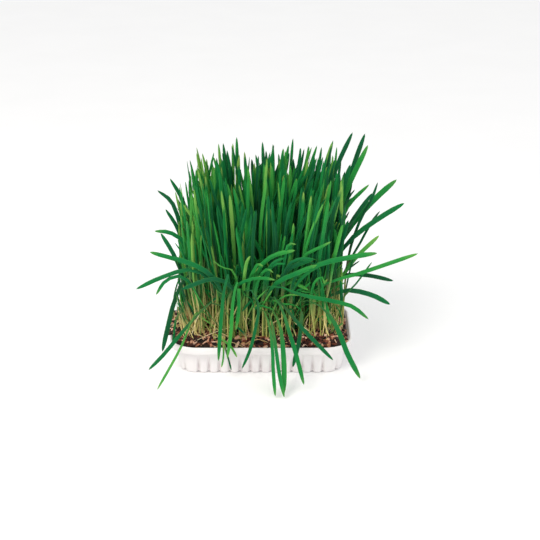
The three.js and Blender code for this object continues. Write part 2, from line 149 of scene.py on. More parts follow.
# Leaves that reach out at the sides in their row's own lane: row, width, turn of the flat side in
# degrees, tone from dark to bright, the root's x, and the line on to the tip as x and z.
SIDE_LEAVES = (
    (1, 5.2, 25, 0.35, 50, ((61, 70), (86, 85), (113, 81), (134, 70))),
    (2, 4.4, 20, 0.10, 55, ((64, 76), (86, 95), (110, 96), (138, 90))),
    (2, 4.2, 15, 0.95, 70, ((77, 76), (93, 108), (122, 140))),
    (3, 5.4, 15, 0.45, 60, ((68, 86), (93, 128), (120, 151), (148, 171))),
    (3, 4.4, 25, 0.20, 69, ((75, 95), (90, 140), (115, 180))),
    (4, 5.8, 10, 0.60, 64, ((74, 95), (95, 138), (118, 167), (141, 191))),
    (4, 4.0, 25, 0.75, 72, ((78, 112), (90, 158), (113, 184))),
    (5, 5.4, 20, 0.70, 60, ((73, 110), (88, 165), (112, 221))),
    (5, 5.6, 10, 0.35, 66, ((77, 110), (86, 168), (94, 200))),
    (6, 5.0, 15, 0.25, 68, ((83, 130), (97, 188), (110, 228))),
    (6, 4.8, 10, 0.30, 48, ((61, 120), (78, 185), (97, 229))),
    (3, 4.4, 20, 0.20, -70, ((-76, 100), (-84, 150), (-92, 173), (-106, 184))),
    (3, 4.0, 25, 0.30, -75, ((-79, 108), (-86, 143), (-98, 164))),
    (5, 4.2, 20, 0.35, -62, ((-68, 110), (-83, 165), (-95, 187))),
    (2, 4.4, 25, 0.55, -66, ((-70, 95), (-80, 135), (-93, 144), (-109, 145))),
    (1, 4.4, 20, 0.30, -72, ((-78, 95), (-88, 125), (-101, 149))),
    (1, 4.6, 25, 0.60, -58, ((-62, 92), (-78, 116), (-113, 128))),
)

# Leaves that bow out of the front row: width, turn, tone, the root's x and the line on to the tip.
FRONT_LEAVES = (
    (4.8, 20, 0.80, 25, ((35, -49, 68), (65, -50, 96), (105, -48, 109), (160, -46, 130))),
    (6.0, 15, 0.65, 25, ((31, -56, 88), (56, -58, 120), (86, -56, 128), (118, -54, 133))),
    (5.6, 10, 0.40, -36, ((-41, -56, 95), (-57, -58, 117), (-89, -54, 130))),
    (5.0, 30, 0.50, -38, ((-43, -54, 92), (-68, -53, 115), (-97, -52, 107), (-127, -52, 92))),
    (4.0, 40, 0.55, -62, ((-65, -54, 88), (-80, -54, 108), (-96, -52, 102), (-107, -50, 85))),
    (5.2, 10, 0.30, -20, ((-25, -57, 90), (-45, -61, 108), (-80, -60, 96))),
    (5.6, 5, 0.25, -58, ((-62, -51, 82), (-74, -52, 108), (-87, -52, 82), (-95, -52, 52),
     (-102, -52, 22))),
    (4.6, 40, 0.45, -30, ((-34, -53, 66), (-48, -57, 80), (-73, -62, 57), (-100, -68, 25),
     (-115, -74, 11))),
    (3.0, 60, 0.90, -50, ((-54, -54, 64), (-64, -63, 72), (-81, -82, 39), (-104, -105, 3))),
    (4.4, 0, 0.55, -28, ((-30, -54, 88), (-33, -62, 113), (-37, -69, 94), (-40, -74, 64),
     (-43, -76, 22))),
    (4.2, 10, 0.80, -20, ((-22, -54, 84), (-24, -61, 104), (-28, -70, 82), (-30, -73, 52),
     (-34, -75, 24))),
    (3.8, -20, 0.40, -14, ((-18, -54, 84), (-12, -63, 98), (-2, -72, 84), (-5, -76, 58),
     (-11, -78, 34), (-19, -80, 15))),
    (4.2, 10, 0.65, -4, ((-2, -56, 66), (2, -66, 76), (8, -80, 68), (12, -94, 46), (13, -106, 24),
     (15, -120, 2.5))),
    (4.4, -15, 0.60, 3, ((5, -60, 70), (10, -76, 72), (15, -92, 48), (19, -108, 22), (24, -122, 2.5))),
    (6.0, 0, 0.70, 7, ((7, -56, 72), (12, -66, 75), (20, -80, 62), (23, -92, 40), (24, -104, 19),
     (23, -117, 2.5))),
    (5.0, 15, 0.55, 11, ((11, -56, 82), (16, -65, 88), (24, -76, 73), (29, -86, 59),
     (36, -94, 37), (44, -104, 8))),
    (4.8, -10, 0.35, 38, ((41, -58, 68), (42, -67, 74), (40, -74, 48), (33, -78, 16))),
    (4.6, 30, 0.35, 5, ((8, -55, 84), (17, -63, 85), (43, -74, 57), (61, -80, 39), (74, -83, 26))),
    (6.2, 35, 0.55, 30, ((34, -54, 74), (46, -62, 84), (62, -68, 79), (73, -75, 68),
     (81, -80, 52), (88, -84, 34), (102, -82, 5))),
    (5.0, 30, 0.60, -3, ((2, -56, 86), (12, -63, 101), (40, -66, 92), (78, -62, 82),
     (94, -58, 75), (111, -56, 60))),
    (5.6, 25, 0.60, 2, ((5, -54, 80), (17, -61, 103), (36, -63, 114), (57, -61, 123))),
    (5.4, 20, 0.35, 14, ((17, -54, 92), (26, -57, 114), (38, -58, 122), (54, -58, 128))),
    (5.0, 15, 0.75, -8, ((-6, -54, 98), (2, -58, 122), (15, -60, 133), (35, -61, 139))),
)

# Slighter leaves and stems that the solids leave out: width, turn, tone and the whole line.
LOOSE_LEAVES = (
    (3.6, 10, 0.70, ((-20, -50, 26), (-21, -56, 84), (-22, -62, 100), (-22, -66, 74), (-25, -70, 54))),
    (2.4, 20, 0.90, ((-46, -49, 26), (-48, -55, 44), (-40, -61, 40), (-31, -67, 35), (-24, -71, 24))),
    (1.8, 0, 0.95, ((-36, -49, 26), (-37, -55, 40), (-38, -62, 36), (-38, -70, 24), (-40, -72, 13))),
    (1.8, 30, 0.25, ((-42, -50, 26), (-40, -56, 42), (-36, -66, 32), (-32, -70, 18), (-30, -72, 10))),
    (5.0, 0, 0.60, ((56, -48, 26), (56, -50, 84), (60, -51, 92), (66, -54, 76), (72, -57, 54))),
    (3.0, 15, 0.20, ((86, -8, 26), (92, -4, 110), (104, -2, 150), (115, -1, 172), (121, 0, 190))),
    (2.6, 15, 0.25, ((78, -6, 26), (88, -4, 92), (104, -2, 124), (116, 0, 147), (124, 0, 159))),
    (2.6, 0, 0.15, ((74, 20, 26), (80, 20, 120), (92, 20, 165), (99, 20, 175))),
    (1.8, 0, 0.50, ((72, -41, 26), (84, -40, 75), (99, -40, 94), (114, -40, 117))),
    (1.8, 0, 0.15, ((74, -22, 26), (82, -21, 84), (91, -20, 101), (103, -20, 111))),
    (1.6, 0, 0.30, ((80, -34, 26), (86, -33, 70), (92, -32, 104), (98, -31, 128))),
    (3.4, 20, 0.70, ((30, -49, 26), (34, -54, 110), (46, -56, 132), (62, -58, 142), (71, -59, 148))),
    (1.7, 0, 0.90, ((8, -50, 26), (12, -54, 66), (20, -56, 83), (30, -60, 89), (40, -64, 90))),
    (1.6, 0, 0.90, ((-22, -50, 26), (-14, -52, 60), (-4, -55, 81), (8, -60, 96))),
    (1.6, 0, 0.90, ((-12, -50, 26), (-6, -52, 56), (2, -55, 75), (12, -60, 94))),
    (3.8, 30, 0.55, ((-34, -50, 26), (-30, -55, 90), (-12, -61, 106), (3, -64, 109), (15, -66, 108))),
    (3.2, -30, 0.65, ((-16, -50, 26), (-12, -56, 100), (-6, -60, 117), (-2, -64, 125), (3, -66, 123))),
    (3.4, 20, 0.60, ((-8, -50, 26), (-4, -56, 96), (2, -61, 113), (8, -64, 119), (13, -66, 116))),
    (2.8, 30, 0.65, ((58, -50, 26), (52, -55, 84), (56, -58, 104), (62, -59, 108), (65, -60, 101))),
    (3.4, 20, 0.45, ((2, -50, 26), (4, -56, 96), (8, -61, 118), (16, -62, 127), (25, -62, 131))),
    (3.2, 20, 0.35, ((30, -50, 26), (32, -56, 92), (36, -61, 110), (44, -62, 117), (54, -62, 119))),
    (3.0, 20, 0.50, ((6, -50, 26), (7, -56, 100), (10, -60, 118), (17, -62, 124), (26, -62, 124))),
    (3.0, 10, 0.55, ((22, -50, 26), (23, -56, 110), (26, -60, 137), (29, -61, 146), (36, -62, 146))),
    (3.4, 0, 0.95, ((-18, -50, 26), (-17, -55, 96), (-15, -58, 118), (-13, -60, 127), (-10, -62, 133))),
    (3.6, 20, 0.35, ((22, -50, 26), (24, -56, 104), (29, -60, 123), (40, -62, 130), (54, -62, 130))),
    (2.6, 0, 0.45, ((-76, -48, 26), (-81, -54, 68), (-86, -58, 62), (-89, -60, 42), (-91, -61, 30))),
)

TO_LEAF_KNOTS = (0, 0.25, 0.5, 0.75, 1)
# How far a bowed leaf has gone aside, ahead, up and back down at each of its knots.
BOWED_KNOTS = ((0, 0.05, 0.3, 0.66, 1), (0, 0.15, 0.6, 0.85, 1), (0, 0.78, 1, 1, 1), (0, 0, 0, 0.3, 1))
# Leaves of one row beyond the main ones: upright, thin and young, and bowed over at the front.
THICKET_LEAVES = (10, 48, 160, 156, 118, 124, 130)
YOUNG_SHOOTS = (30, 72, 60, 50, 50, 50, 70)
BOWED_LEAVES = (22, 28, 0, 0, 0, 0, 10)
# Seeds of the random draws; a row's number is added to those of the grass.
BARK_SEED, HUSK_SEED, STALK_SEED = 31, 57, 83
MAIN_SEED, THICKET_SEED, SHOOT_SEED, BOWED_SEED = 300, 500, 700, 900

# The studio, in metres.
CAMERA_PLACE, CAMERA_PITCH, LENS, SENSOR = (0.00975, -1.48463, 0.63375), 70, 100, 36
LIGHTS_AIM = (0, 0, 0.1)
KEY_PLACE, KEY_SIZE = (-0.75, -1.0, 1.25), 0.9
FILL_PLACE, FILL_SIZE = (1.2, -1.3, 0.7), 1.2
FLOOR_SIZE = 16


class TraySettings(bpy.types.PropertyGroup):
    """Sizes and colour of the tray"""

    groove_depth: bpy.props.FloatProperty(
        name="Groove depth", description="How far a groove is pressed in at the foot",
        default=6 * MM, min=0, max=8 * MM, unit="LENGTH")
    band_height: bpy.props.FloatProperty(
        name="Band height", description="Height of the smooth band at the rim",
        default=7.9 * MM, min=4 * MM, max=12 * MM, unit="LENGTH")
    plastic: bpy.props.StringProperty(
        name="Plastic", description="Colour of the moulded plastic, as a hex value", default="f3f0ef")


class SoilSettings(bpy.types.PropertyGroup):
    """What lies in the tray"""

    chips: bpy.props.IntProperty(
        name="Bark chips", description="How many pieces of bark lie on the soil", default=1500, min=1)
    crumbs: bpy.props.IntProperty(
        name="Crumbs", description="How many crumbs of peat lie on the soil", default=3300, min=1)
    husks: bpy.props.IntProperty(
        name="Husks", description="How many empty seed husks lie on the soil", default=240, min=1)
    straws: bpy.props.IntProperty(
        name="Dry stalks", description="How many dry stalks lean among the stems", default=150, min=1)
    peat: bpy.props.StringProperty(
        name="Peat", description="Colour of the damp peat, as a hex value", default="1d130d")


class GrassSettings(bpy.types.PropertyGroup):
    """How the grass grows"""

    leaf_width: bpy.props.FloatProperty(
        name="Leaf width", description="Width of an open leaf",
        default=3.6 * MM, min=2 * MM, max=8 * MM, unit="LENGTH")
    thickness: bpy.props.FloatProperty(
        name="Blade thickness", description="Thickness of an open leaf at its midrib",
        default=0.42 * MM, min=0.1 * MM, max=1 * MM, unit="LENGTH")


class StudioSettings(bpy.types.PropertyGroup):
    """Light and camera"""

    key_power: bpy.props.FloatProperty(
        name="Key light", description="Power of the large soft light at the upper left",
        default=13, min=0, unit="POWER")
    fill_power: bpy.props.FloatProperty(
        name="Fill light", description="Power of the weak light at the right", default=5, min=0,
        unit="POWER")
    sky: bpy.props.FloatProperty(
        name="Sky", description="Strength of the even white light from all round", default=0.88, min=0)


def lerp(a, b, t):
    return a + (b - a) * t


def soft_step(t):
    t = np.clip(t, 0, 1)
    return t * t * (3 - 2 * t)


def draws(seed):
    """Repeatable draws between 0 and 1, one at a time."""
    state = seed

    def draw():
        nonlocal state
        state = (state * 1664525 + 1013904223) & 0xFFFFFFFF
        return (state >> 8) / 16777216

    return draw


# Materials


def colour(hex_value):
    """A colour's sRGB hex value as linear red, green, blue and a full alpha."""
    parts = [int(hex_value[i:i + 2], 16) / 255 for i in (0, 2, 4)]
    return (*[p / 12.92 if p <= 0.04045 else ((p + 0.055) / 1.055) ** 2.4 for p in parts], 1)


def feed(tree, node, inputs):
    """Feeds a node's inputs, each with a value or from a socket."""
    for name, value in inputs.items():
        if isinstance(value, bpy.types.NodeSocket):
            tree.links.new(value, node.inputs[name])
        else:
            node.inputs[name].default_value = value


def add(tree, kind, inputs=None, stops=None, **settings):
    """Adds a node with its settings, its inputs and the stops of its colour ramp."""
    node = tree.nodes.new("ShaderNode" + kind)
    for name, value in settings.items():
        setattr(node, name, value)
    feed(tree, node, inputs or {})
    if stops:
        marks = node.color_ramp.elements
        while len(marks) < len(stops):
            marks.new(1)
        for mark, (place, tone) in zip(marks, stops):
            mark.position = place
            mark.color = colour(tone)
    return node


def new_material(name):
    """A material with its node tree, its shader and the socket of its object's coordinates."""
    material = bpy.data.materials.new(name)
    material.use_nodes = True
    tree = material.node_tree
    where = add(tree, "TexCoord").outputs["Object"]
    return material, tree, tree.nodes["Principled BSDF"], where


def finish_surface(tree, shader, tone, wear, rough, relief, strength, depth):
    """Gives a shader its colour, a roughness that varies with the wear, and a relief."""
    gloss = add(tree, "MapRange", {"Value": wear, "To Min": rough[0], "To Max": rough[1]})
    bump = add(tree, "Bump", {"Height": relief, "Strength": strength, "Distance": depth * MM})
    feed(tree, shader, {"Base Color": tone, "Roughness": gloss.outputs[0],
                        "Normal": bump.outputs["Normal"]})


def moulded_plastic(settings):
    """White vacuum-formed sheet: matt, faintly warm, with a soft unevenness from the mould."""
    material, tree, shader, where = new_material("tray_vacuum_formed_plastic")
    # The sheet thins and thickens over about 40 mm, and its skin ripples over about 3 mm.
    cloud = add(tree, "TexNoise", {"Vector": where, "Scale": 1 / (40 * MM), "Detail": 2.0})
    ripple = add(tree, "TexNoise", {"Vector": where, "Scale": 1 / (3 * MM), "Detail": 3.0})
    shade = add(tree, "ValToRGB", {"Fac": cloud.outputs["Fac"]},
                stops=((0.3, "ece6e6"), (0.7, settings.plastic)))
    # Painted shade: the plastic is tinted a faint pinkish grey in the grooves, most strongly low down in
    # them.
    pressed = add(tree, "Attribute", attribute_name="pressed").outputs["Fac"]
    groove_shade = add(tree, "Math", {0: pressed, 1: 0.25}, operation="MULTIPLY")
    tone = add(tree, "Mix", {"Factor": groove_shade.outputs[0], 6: shade.outputs["Color"],
                             7: colour("d6c6c8")}, data_type="RGBA")
    finish_surface(tree, shader, tone.outputs[2], ripple.outputs["Fac"], (0.36, 0.5),
                   ripple.outputs["Fac"], strength=0.12, depth=0.1)
    feed(tree, shader, {"IOR": 1.49})
    return material


def damp_peat(settings):
    """Damp peat: nearly black, crumbly, with brown fibres that catch the light."""
    material, tree, shader, where = new_material("soil_damp_peat")
    crumb = add(tree, "TexNoise", {"Vector": where, "Scale": 1 / (2.2 * MM), "Detail": 6.0})
    patch = add(tree, "TexNoise", {"Vector": where, "Scale": 1 / (14 * MM), "Detail": 2.0})
    shade = add(tree, "ValToRGB", {"Fac": crumb.outputs["Fac"]},
                stops=((0.35, "0c0705"), (0.55, settings.peat), (0.75, "4a2c1c")))
    warm = add(tree, "Mix", {"Factor": patch.outputs["Fac"], 6: shade.outputs["Color"],
                             7: colour("2b1710")}, data_type="RGBA")
    finish_surface(tree, shader, warm.outputs[2], patch.outputs["Fac"], (0.6, 0.95),
                   crumb.outputs["Fac"], strength=0.9, depth=1.2)
    return material


def loose_bits(name, stops, grain, rough):
    """Bits that differ piece by piece: each takes its own shade, streaked along its grain."""
    material, tree, shader, where = new_material(name)
    own = add(tree, "Attribute", attribute_name="shade").outputs["Fac"]
    streak = add(tree, "TexNoise", {"Vector": where, "Scale": 1 / (grain * MM),
                                    "Detail": 4.0}).outputs["Fac"]
    mixed = add(tree, "Math", {0: streak, 1: 0.5, 2: own}, operation="MULTIPLY_ADD")
    centred = add(tree, "Math", {0: mixed.outputs[0], 1: 0.25}, operation="SUBTRACT")
    shade = add(tree, "ValToRGB", {"Fac": centred.outputs[0]}, stops=stops)
    finish_surface(tree, shader, shade.outputs["Color"], streak, (rough - 0.15, rough + 0.1), streak,
                   strength=0.7, depth=0.4)
    return material


def living_leaf():
    """Young wheat leaf: waxy and ribbed along its length, pale at the sheath, bright at the margin.

    The vector attribute blade holds how far a point lies from root to tip and from edge to edge;
    hue holds the leaf's own tone (lighter at the left end, partly as painted light), how ripe its sheath
    is with painted light and shade added, and how far its tip has turned.
    """
    material, tree, shader, where = new_material("young_wheat_leaf")
    blade = add(tree, "Attribute", attribute_name="blade").outputs["Vector"]
    hue = add(tree, "Attribute", attribute_name="hue").outputs["Vector"]
    along, across, _ = add(tree, "SeparateXYZ", {0: blade}).outputs
    tone, ripe_and_light, turned = add(tree, "SeparateXYZ", {0: hue}).outputs
    height = add(tree, "SeparateXYZ", {0: where}).outputs["Z"]
    # Tones drift along a leaf over about 25 mm.
    drift = add(tree, "TexNoise", {"Vector": where, "Scale": 1 / (25 * MM), "Detail": 2.0})
    mottle = add(tree, "Math", {0: drift.outputs["Fac"], 1: 0.4, 2: tone}, operation="MULTIPLY_ADD")
    # A blade is darkest where it leaves its sheath and lighter towards its tip.
    young = add(tree, "MapRange", {"Value": along, "From Min": 0.45, "From Max": 1.0,
                                   "To Min": -0.3, "To Max": -0.05})
    centred = add(tree, "Math", {0: mottle.outputs[0], 1: young.outputs[0]}, operation="ADD")
    green = add(tree, "ValToRGB", {"Fac": centred.outputs[0]},
                stops=((0.0, "003a22"), (0.25, "005632"), (0.5, "067436"), (0.72, "268b38"),
                       (0.88, "4c9d40"), (1.0, "76ab4c")))
    # Ribs run the length of a blade; the real ones are 0.3 mm apart and these 0.6 to 1 mm,
    # so that they show.
    ribs = add(tree, "Math", {0: across, 1: 3 * math.tau}, operation="MULTIPLY")
    ribbed = add(tree, "Math", {0: ribs.outputs[0]}, operation="COSINE")
    rib_shade = add(tree, "MapRange", {"Value": ribbed.outputs[0], "From Min": -1.0,
                                       "From Max": 1.0, "To Min": 0.0, "To Max": 0.1})
    veined = add(tree, "Mix", {"Factor": rib_shade.outputs[0], 6: green.outputs["Color"],
                               7: colour("46a04e")}, data_type="RGBA")
    # The margin is thin and lets light through.
    side = add(tree, "Math", {0: across}, operation="ABSOLUTE")
    margin = add(tree, "MapRange", {"Value": side.outputs[0], "From Min": 0.72,
                                    "From Max": 1.0, "To Max": 0.3},
                 interpolation_type="SMOOTHSTEP")
    edged = add(tree, "Mix", {"Factor": margin.outputs[0], 6: veined.outputs[2],
                              7: colour("4e9f46")}, data_type="RGBA")
    # Sheaths are pale near the soil, and green by 80 to 150 mm up.
    reach = add(tree, "MapRange", {"Value": ripe_and_light, "To Min": 78 * MM, "To Max": 150 * MM})
    low = add(tree, "MapRange", {"Value": height, "From Min": 36 * MM,
                                 "From Max": reach.outputs[0], "To Min": 1.0, "To Max": 0.0},
              interpolation_type="SMOOTHSTEP")
    stem = add(tree, "MapRange", {"Value": along, "From Min": 0.3, "From Max": 0.72,
                                  "To Min": 1.0, "To Max": 0.0},
               interpolation_type="SMOOTHSTEP")
    bare = add(tree, "Math", {0: low.outputs[0], 1: stem.outputs[0]}, operation="MULTIPLY")
    # The sheath colour carries painted light and shade: paler at the left end, partly as painted light,
    # and darker green in the inner rows as painted shade.
    sheath = add(tree, "ValToRGB", {"Fac": ripe_and_light},
                 stops=((0.0, "0e3018"), (0.3, "35602a"), (0.6, "a2a852"), (1.0, "eedb92")))
    grown = add(tree, "Mix", {"Factor": bare.outputs[0], 6: edged.outputs[2],
                              7: sheath.outputs["Color"]}, data_type="RGBA")
    # Some tips have begun to dry.
    tip = add(tree, "MapRange", {"Value": along, "From Min": 0.92, "From Max": 1.0},
              interpolation_type="SMOOTHSTEP")
    dried = add(tree, "Math", {0: tip.outputs[0], 1: turned}, operation="MULTIPLY")
    final = add(tree, "Mix", {"Factor": dried.outputs[0], 6: grown.outputs[2],
                              7: colour("92b856")}, data_type="RGBA")
    finish_surface(tree, shader, final.outputs[2], drift.outputs["Fac"], (0.45, 0.62),
                   ribbed.outputs[0], strength=0.25, depth=0.12)
    feed(tree, shader, {"Specular IOR Level": 0.12})
    return material


def studio_paper():
    """White paper: the floor that the tray stands on."""
    material, tree, shader, where = new_material("floor_white_paper")
    fibre = add(tree, "TexNoise", {"Vector": where, "Scale": 8.0, "Detail": 2.0})
    shade = add(tree, "ValToRGB", {"Fac": fibre.outputs["Fac"]}, stops=((0.0, "fbfbfb"), (1.0, "ffffff")))
    feed(tree, shader, {"Base Color": shade.outputs["Color"], "Roughness": 0.9})
    return material


# Modelling


def fresh_start():
    """Leaves edit mode and deselects everything, so that an operator acts on new work alone."""
    if bpy.context.object and bpy.context.object.mode != "OBJECT":
        bpy.ops.object.mode_set(mode="OBJECT")
    bpy.ops.object.select_all(action="DESELECT")


def finish_piece(piece, name, material, angle=40):
    """Names a piece, gives it its finish and lets it ride on the part's body."""
    fresh_start()
    piece.name = piece.data.name = name
    piece.data.materials.clear()
    piece.data.materials.append(material)
    piece.select_set(True)
    bpy.context.view_layer.objects.active = piece
    bpy.ops.object.shade_smooth_by_angle(angle=math.radians(angle))
    piece.select_set(False)
    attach(piece, "root")


def start_ring(name, count):
    """A ring of edges in edit mode. Each vertex is numbered, and extruding copies the number."""
    fresh_start()
    bpy.ops.mesh.primitive_circle_add(vertices=count, radius=1, fill_type="NOTHING")
    ring = bpy.context.object
    ring.name = name
    number = ring.data.attributes.new("number", "INT", "POINT")
    number.data.foreach_set("value", list(range(count)))
    bpy.ops.object.mode_set(mode="EDIT")
    bpy.ops.mesh.select_all(action="SELECT")
    return ring


def lay_ring(ring, places):
    """Moves the selected vertices to their numbered places."""
    mesh = bmesh.from_edit_mesh(ring.data)
    number = mesh.verts.layers.int["number"]
    for vertex in mesh.verts:
        if vertex.select:
            vertex.co = Vector(places[vertex[number]]) * MM
    bmesh.update_edit_mesh(ring.data)


def raise_rings(ring, outlines):
    """Extrudes the selected ring through each outline in turn and closes both ends."""
    lay_ring(ring, outlines[0])
    for outline in outlines[1:]:
        bpy.ops.mesh.extrude_edges_move()
        lay_ring(ring, outline)
    bpy.ops.mesh.select_all(action="SELECT")
    bpy.ops.mesh.fill_holes(sides=0)
    bpy.ops.mesh.normals_make_consistent(inside=False)
    bpy.ops.object.mode_set(mode="OBJECT")


def shape_of(blank):
    """The vertices and faces of a blank, which is then removed."""
    points = np.array([vertex.co for vertex in blank.data.vertices])
    faces = [tuple(face.vertices) for face in blank.data.polygons]
    bpy.data.objects.remove(blank)
    return points, faces


def lay_copies(name, faces, points, marks):
    """One mesh of many copies of a blank. points is (copies, vertices, 3) in millimetres, and a
    mark has one value or one vector for each vertex of each copy."""
    copies, count = points.shape[:2]
    every = [tuple(corner + copy * count for corner in face) for copy in range(copies) for face in faces]
    mesh = bpy.data.meshes.new(name)
    mesh.from_pydata((points.reshape(-1, 3) * MM).tolist(), [], every)
    for mark, values in marks.items():
        kind, field = ("FLOAT_VECTOR", "vector") if values.ndim == 3 else ("FLOAT", "value")
        layer = mesh.attributes.new(mark, kind, "POINT")
        layer.data.foreach_set(field, values.astype(np.float32).ravel())
    piece = bpy.data.objects.new(name, mesh)
    bpy.context.scene.collection.objects.link(piece)
    return piece


# The tray


def rim_stations():
    """Places round the tray: side or corner, its number, how far along it, and how far from a groove."""
    stations = []

    def stretch(kind, index, length, ribs):
        pitch = length / ribs
        for rib in range(ribs):
            marks = [*GROOVE_STEPS, pitch / 2, *[pitch - step for step in GROOVE_STEPS[:0:-1]]]
            for mark in marks:
                stations.append((kind, index, (rib * pitch + mark) / length, min(mark, pitch - mark)))

    long_side = TRAY_WIDTH - 2 * BODY_INSET - 2 * BODY_CORNER
    short_side = TRAY_DEPTH - 2 * BODY_INSET - 2 * BODY_CORNER
    for index in range(4):
        sides = (long_side, FRONT_RIBS) if index % 2 == 0 else (short_side, SIDE_RIBS)
        stretch("side", index, *sides)
        stretch("corner", index, BODY_CORNER * math.pi / 2, 2)
    return stations


def rounded(half_x, half_y, corner, stations, pushed, height):
    """A rounded rectangle through the stations, each pushed in by its own distance."""
    inner_x, inner_y = half_x - corner, half_y - corner
    ends = ((-1, -1), (1, -1), (1, 1), (-1, 1))
    places = []
    for (kind, index, t, _), push, z in zip(stations, pushed, height):
        (ax, ay), (bx, by) = ends[index], ends[(index + 1) % 4]
        outward = (index - 1) * math.pi / 2
        if kind == "corner":
            outward += t * math.pi / 2
            t = 1
        reach = corner - push
        places.append((lerp(ax, bx, t) * inner_x + reach * math.cos(outward),
                       lerp(ay, by, t) * inner_y + reach * math.sin(outward), z))
    return places


def groove_share(distance, z):
    """How far a point lies in a groove, by its distance along the wall; grooves flare downwards."""
    half = GROOVE_HALF * (1 + 0.25 * (1 - z / GROOVE_TOP) + 0.3 * max(0, 1 - z / 7) ** 2)
    deep = soft_step(1 - distance / half)
    return (1 - SHOULDER_SHARE) * deep + SHOULDER_SHARE * soft_step(1 - distance / RIB_SHOULDER)


def tray_outlines(stations, groove_depth, band_height):
    """The tray's rings from the underside, up the ribbed wall, over the rim and down inside."""
    count = len(stations)
    band_bottom = TRAY_HEIGHT - band_height
    body = (TRAY_WIDTH / 2 - BODY_INSET, TRAY_DEPTH / 2 - BODY_INSET, BODY_CORNER)

    def plain(inset, z):
        half = (TRAY_WIDTH / 2 - inset, TRAY_DEPTH / 2 - inset, max(RIM_CORNER - inset, 4))
        return rounded(*half, stations, [0] * count, [z] * count)

    def ribbed(z, inset=0.0):
        lift = max(0.0, 1 - z / GROOVE_TOP)
        draft = BODY_DRAFT * (1 - z / band_bottom)
        # The groove in the middle of a corner shows only near the foot.
        low = max(0.0, 1 - z / CORNER_GROOVE_TOP)
        shares = [groove_share(away, z) * (low if kind == "corner" and 0.25 < t < 0.75 else 1)
                  for kind, _, t, away in stations]
        foot = lerp(0.4, 1.0, float(soft_step(z / 6)))
        pushed = [draft + inset + share * groove_depth * lift * foot for share in shares]
        # The foot curls up beside a groove, so that each rib ends in a rounded toe.
        heights = [z + 0.9 * share * max(0.0, 1 - z / 8) for share in shares]
        return rounded(*body, stations, pushed, heights)

    foot = [ribbed(FOOT_ROUND * (1 - math.cos(turn)), FOOT_ROUND * (1 - math.sin(turn)))
            for turn in np.radians((0, 25, 50, 72))]
    wall = [ribbed(z) for z in (*WALL_HEIGHTS, band_bottom - 1.2)]
    under = [ribbed(band_bottom - 0.35, -0.35), plain(BODY_INSET - 1.2, band_bottom),
             plain(2.0, band_bottom)]
    band = [plain(inset, band_bottom + z) for inset, z in ((1.3, 0.1), (0.75, 0.4), (0.45, 0.9))]
    top = TRAY_HEIGHT
    lip = [plain(inset, z) for inset, z in ((0.05, top - 1.2), (0.0, top - 0.6), (0.12, top - 0.25),
                                            (0.4, top - 0.05), (0.8, top), (1.4, top),
                                            (1.85, top - 0.15), (RIM_WIDTH, top - 0.5))]
    inside = [plain(LEDGE_INSET, LEDGE_TOP), plain(WALL_INSET, band_bottom + 1), plain(FLOOR_INSET, FLOOR)]
    return [plain(BODY_INSET + 12, 0), *foot, *wall, *under, *band, *lip, *inside]


class WHEATGRASS_OT_tray(bpy.types.Operator):
    """Model the ribbed white tray with its smooth band and rounded rim"""

    bl_idname = "wheatgrass.tray"
    bl_label = "Tray"

    def execute(self, context):
        settings = context.scene.wheatgrass_tray
        stations = rim_stations()
        outlines = tray_outlines(stations, settings.groove_depth / MM, settings.band_height / MM)
        shell = start_ring("tray_shell", len(stations))
        raise_rings(shell, outlines)
        # The pressed mask marks the grooves, strongest low down; the plastic's painted shade follows it.
        deep = [groove_share(station[3], 4.0) for station in stations]
        number = shell.data.attributes["number"].data
        pressed = [deep[number[i].value] * max(0.0, 1 - vertex.co.z / (GROOVE_TOP * MM))
                   for i, vertex in enumerate(shell.data.vertices)]
        shell.data.attributes.new("pressed", "FLOAT", "POINT").data.foreach_set("value", pressed)
        shell.data.attributes.remove(shell.data.attributes["number"])
        finish_piece(shell, "tray_shell", moulded_plastic(settings), angle=50)
        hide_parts("tray")
        return {"FINISHED"}


# The soil and what lies on it


def heap(x, y):
    """How high the bark and husks are heaped at the left end."""
    return HEAP_HEIGHT * soft_step((-x - HEAP_FROM) / 12) * soft_step((HEAP_REACH - np.abs(y)) / 14)


def soil_height(x, y):
    """Height of the soil, lifted by the mat of roots under the rows and lumpy."""
    edge = np.maximum(np.abs(x) / 90, np.abs(y) / 60)
    mound = np.clip(SOIL_MOUND * (1 - edge ** 4), 0, SOIL_MOUND)
    mat = ROOT_MAT * soft_step((1 - edge) / MAT_SLOPE)
    lumps = np.sin(x / 4.1 + 1.3 * np.sin(y / 5)) * np.cos(y / 3.7 + np.sin(x / 6))
    swell = np.sin(x / 17 + 2) * np.cos(y / 13)
    return SOIL_EDGE + (mound + mat) + 0.6 * heap(x, y) + 0.55 * lumps + 0.45 * swell


def crumbly(x, y):
    """The soil's height with its crumbs, each 2 to 4 mm across."""
    fine = noise.fractal(Vector((x / 3.2, y / 3.2, 0.4)), 0.9, 2.1, 3)
    return float(soil_height(x, y)) + 0.75 * fine


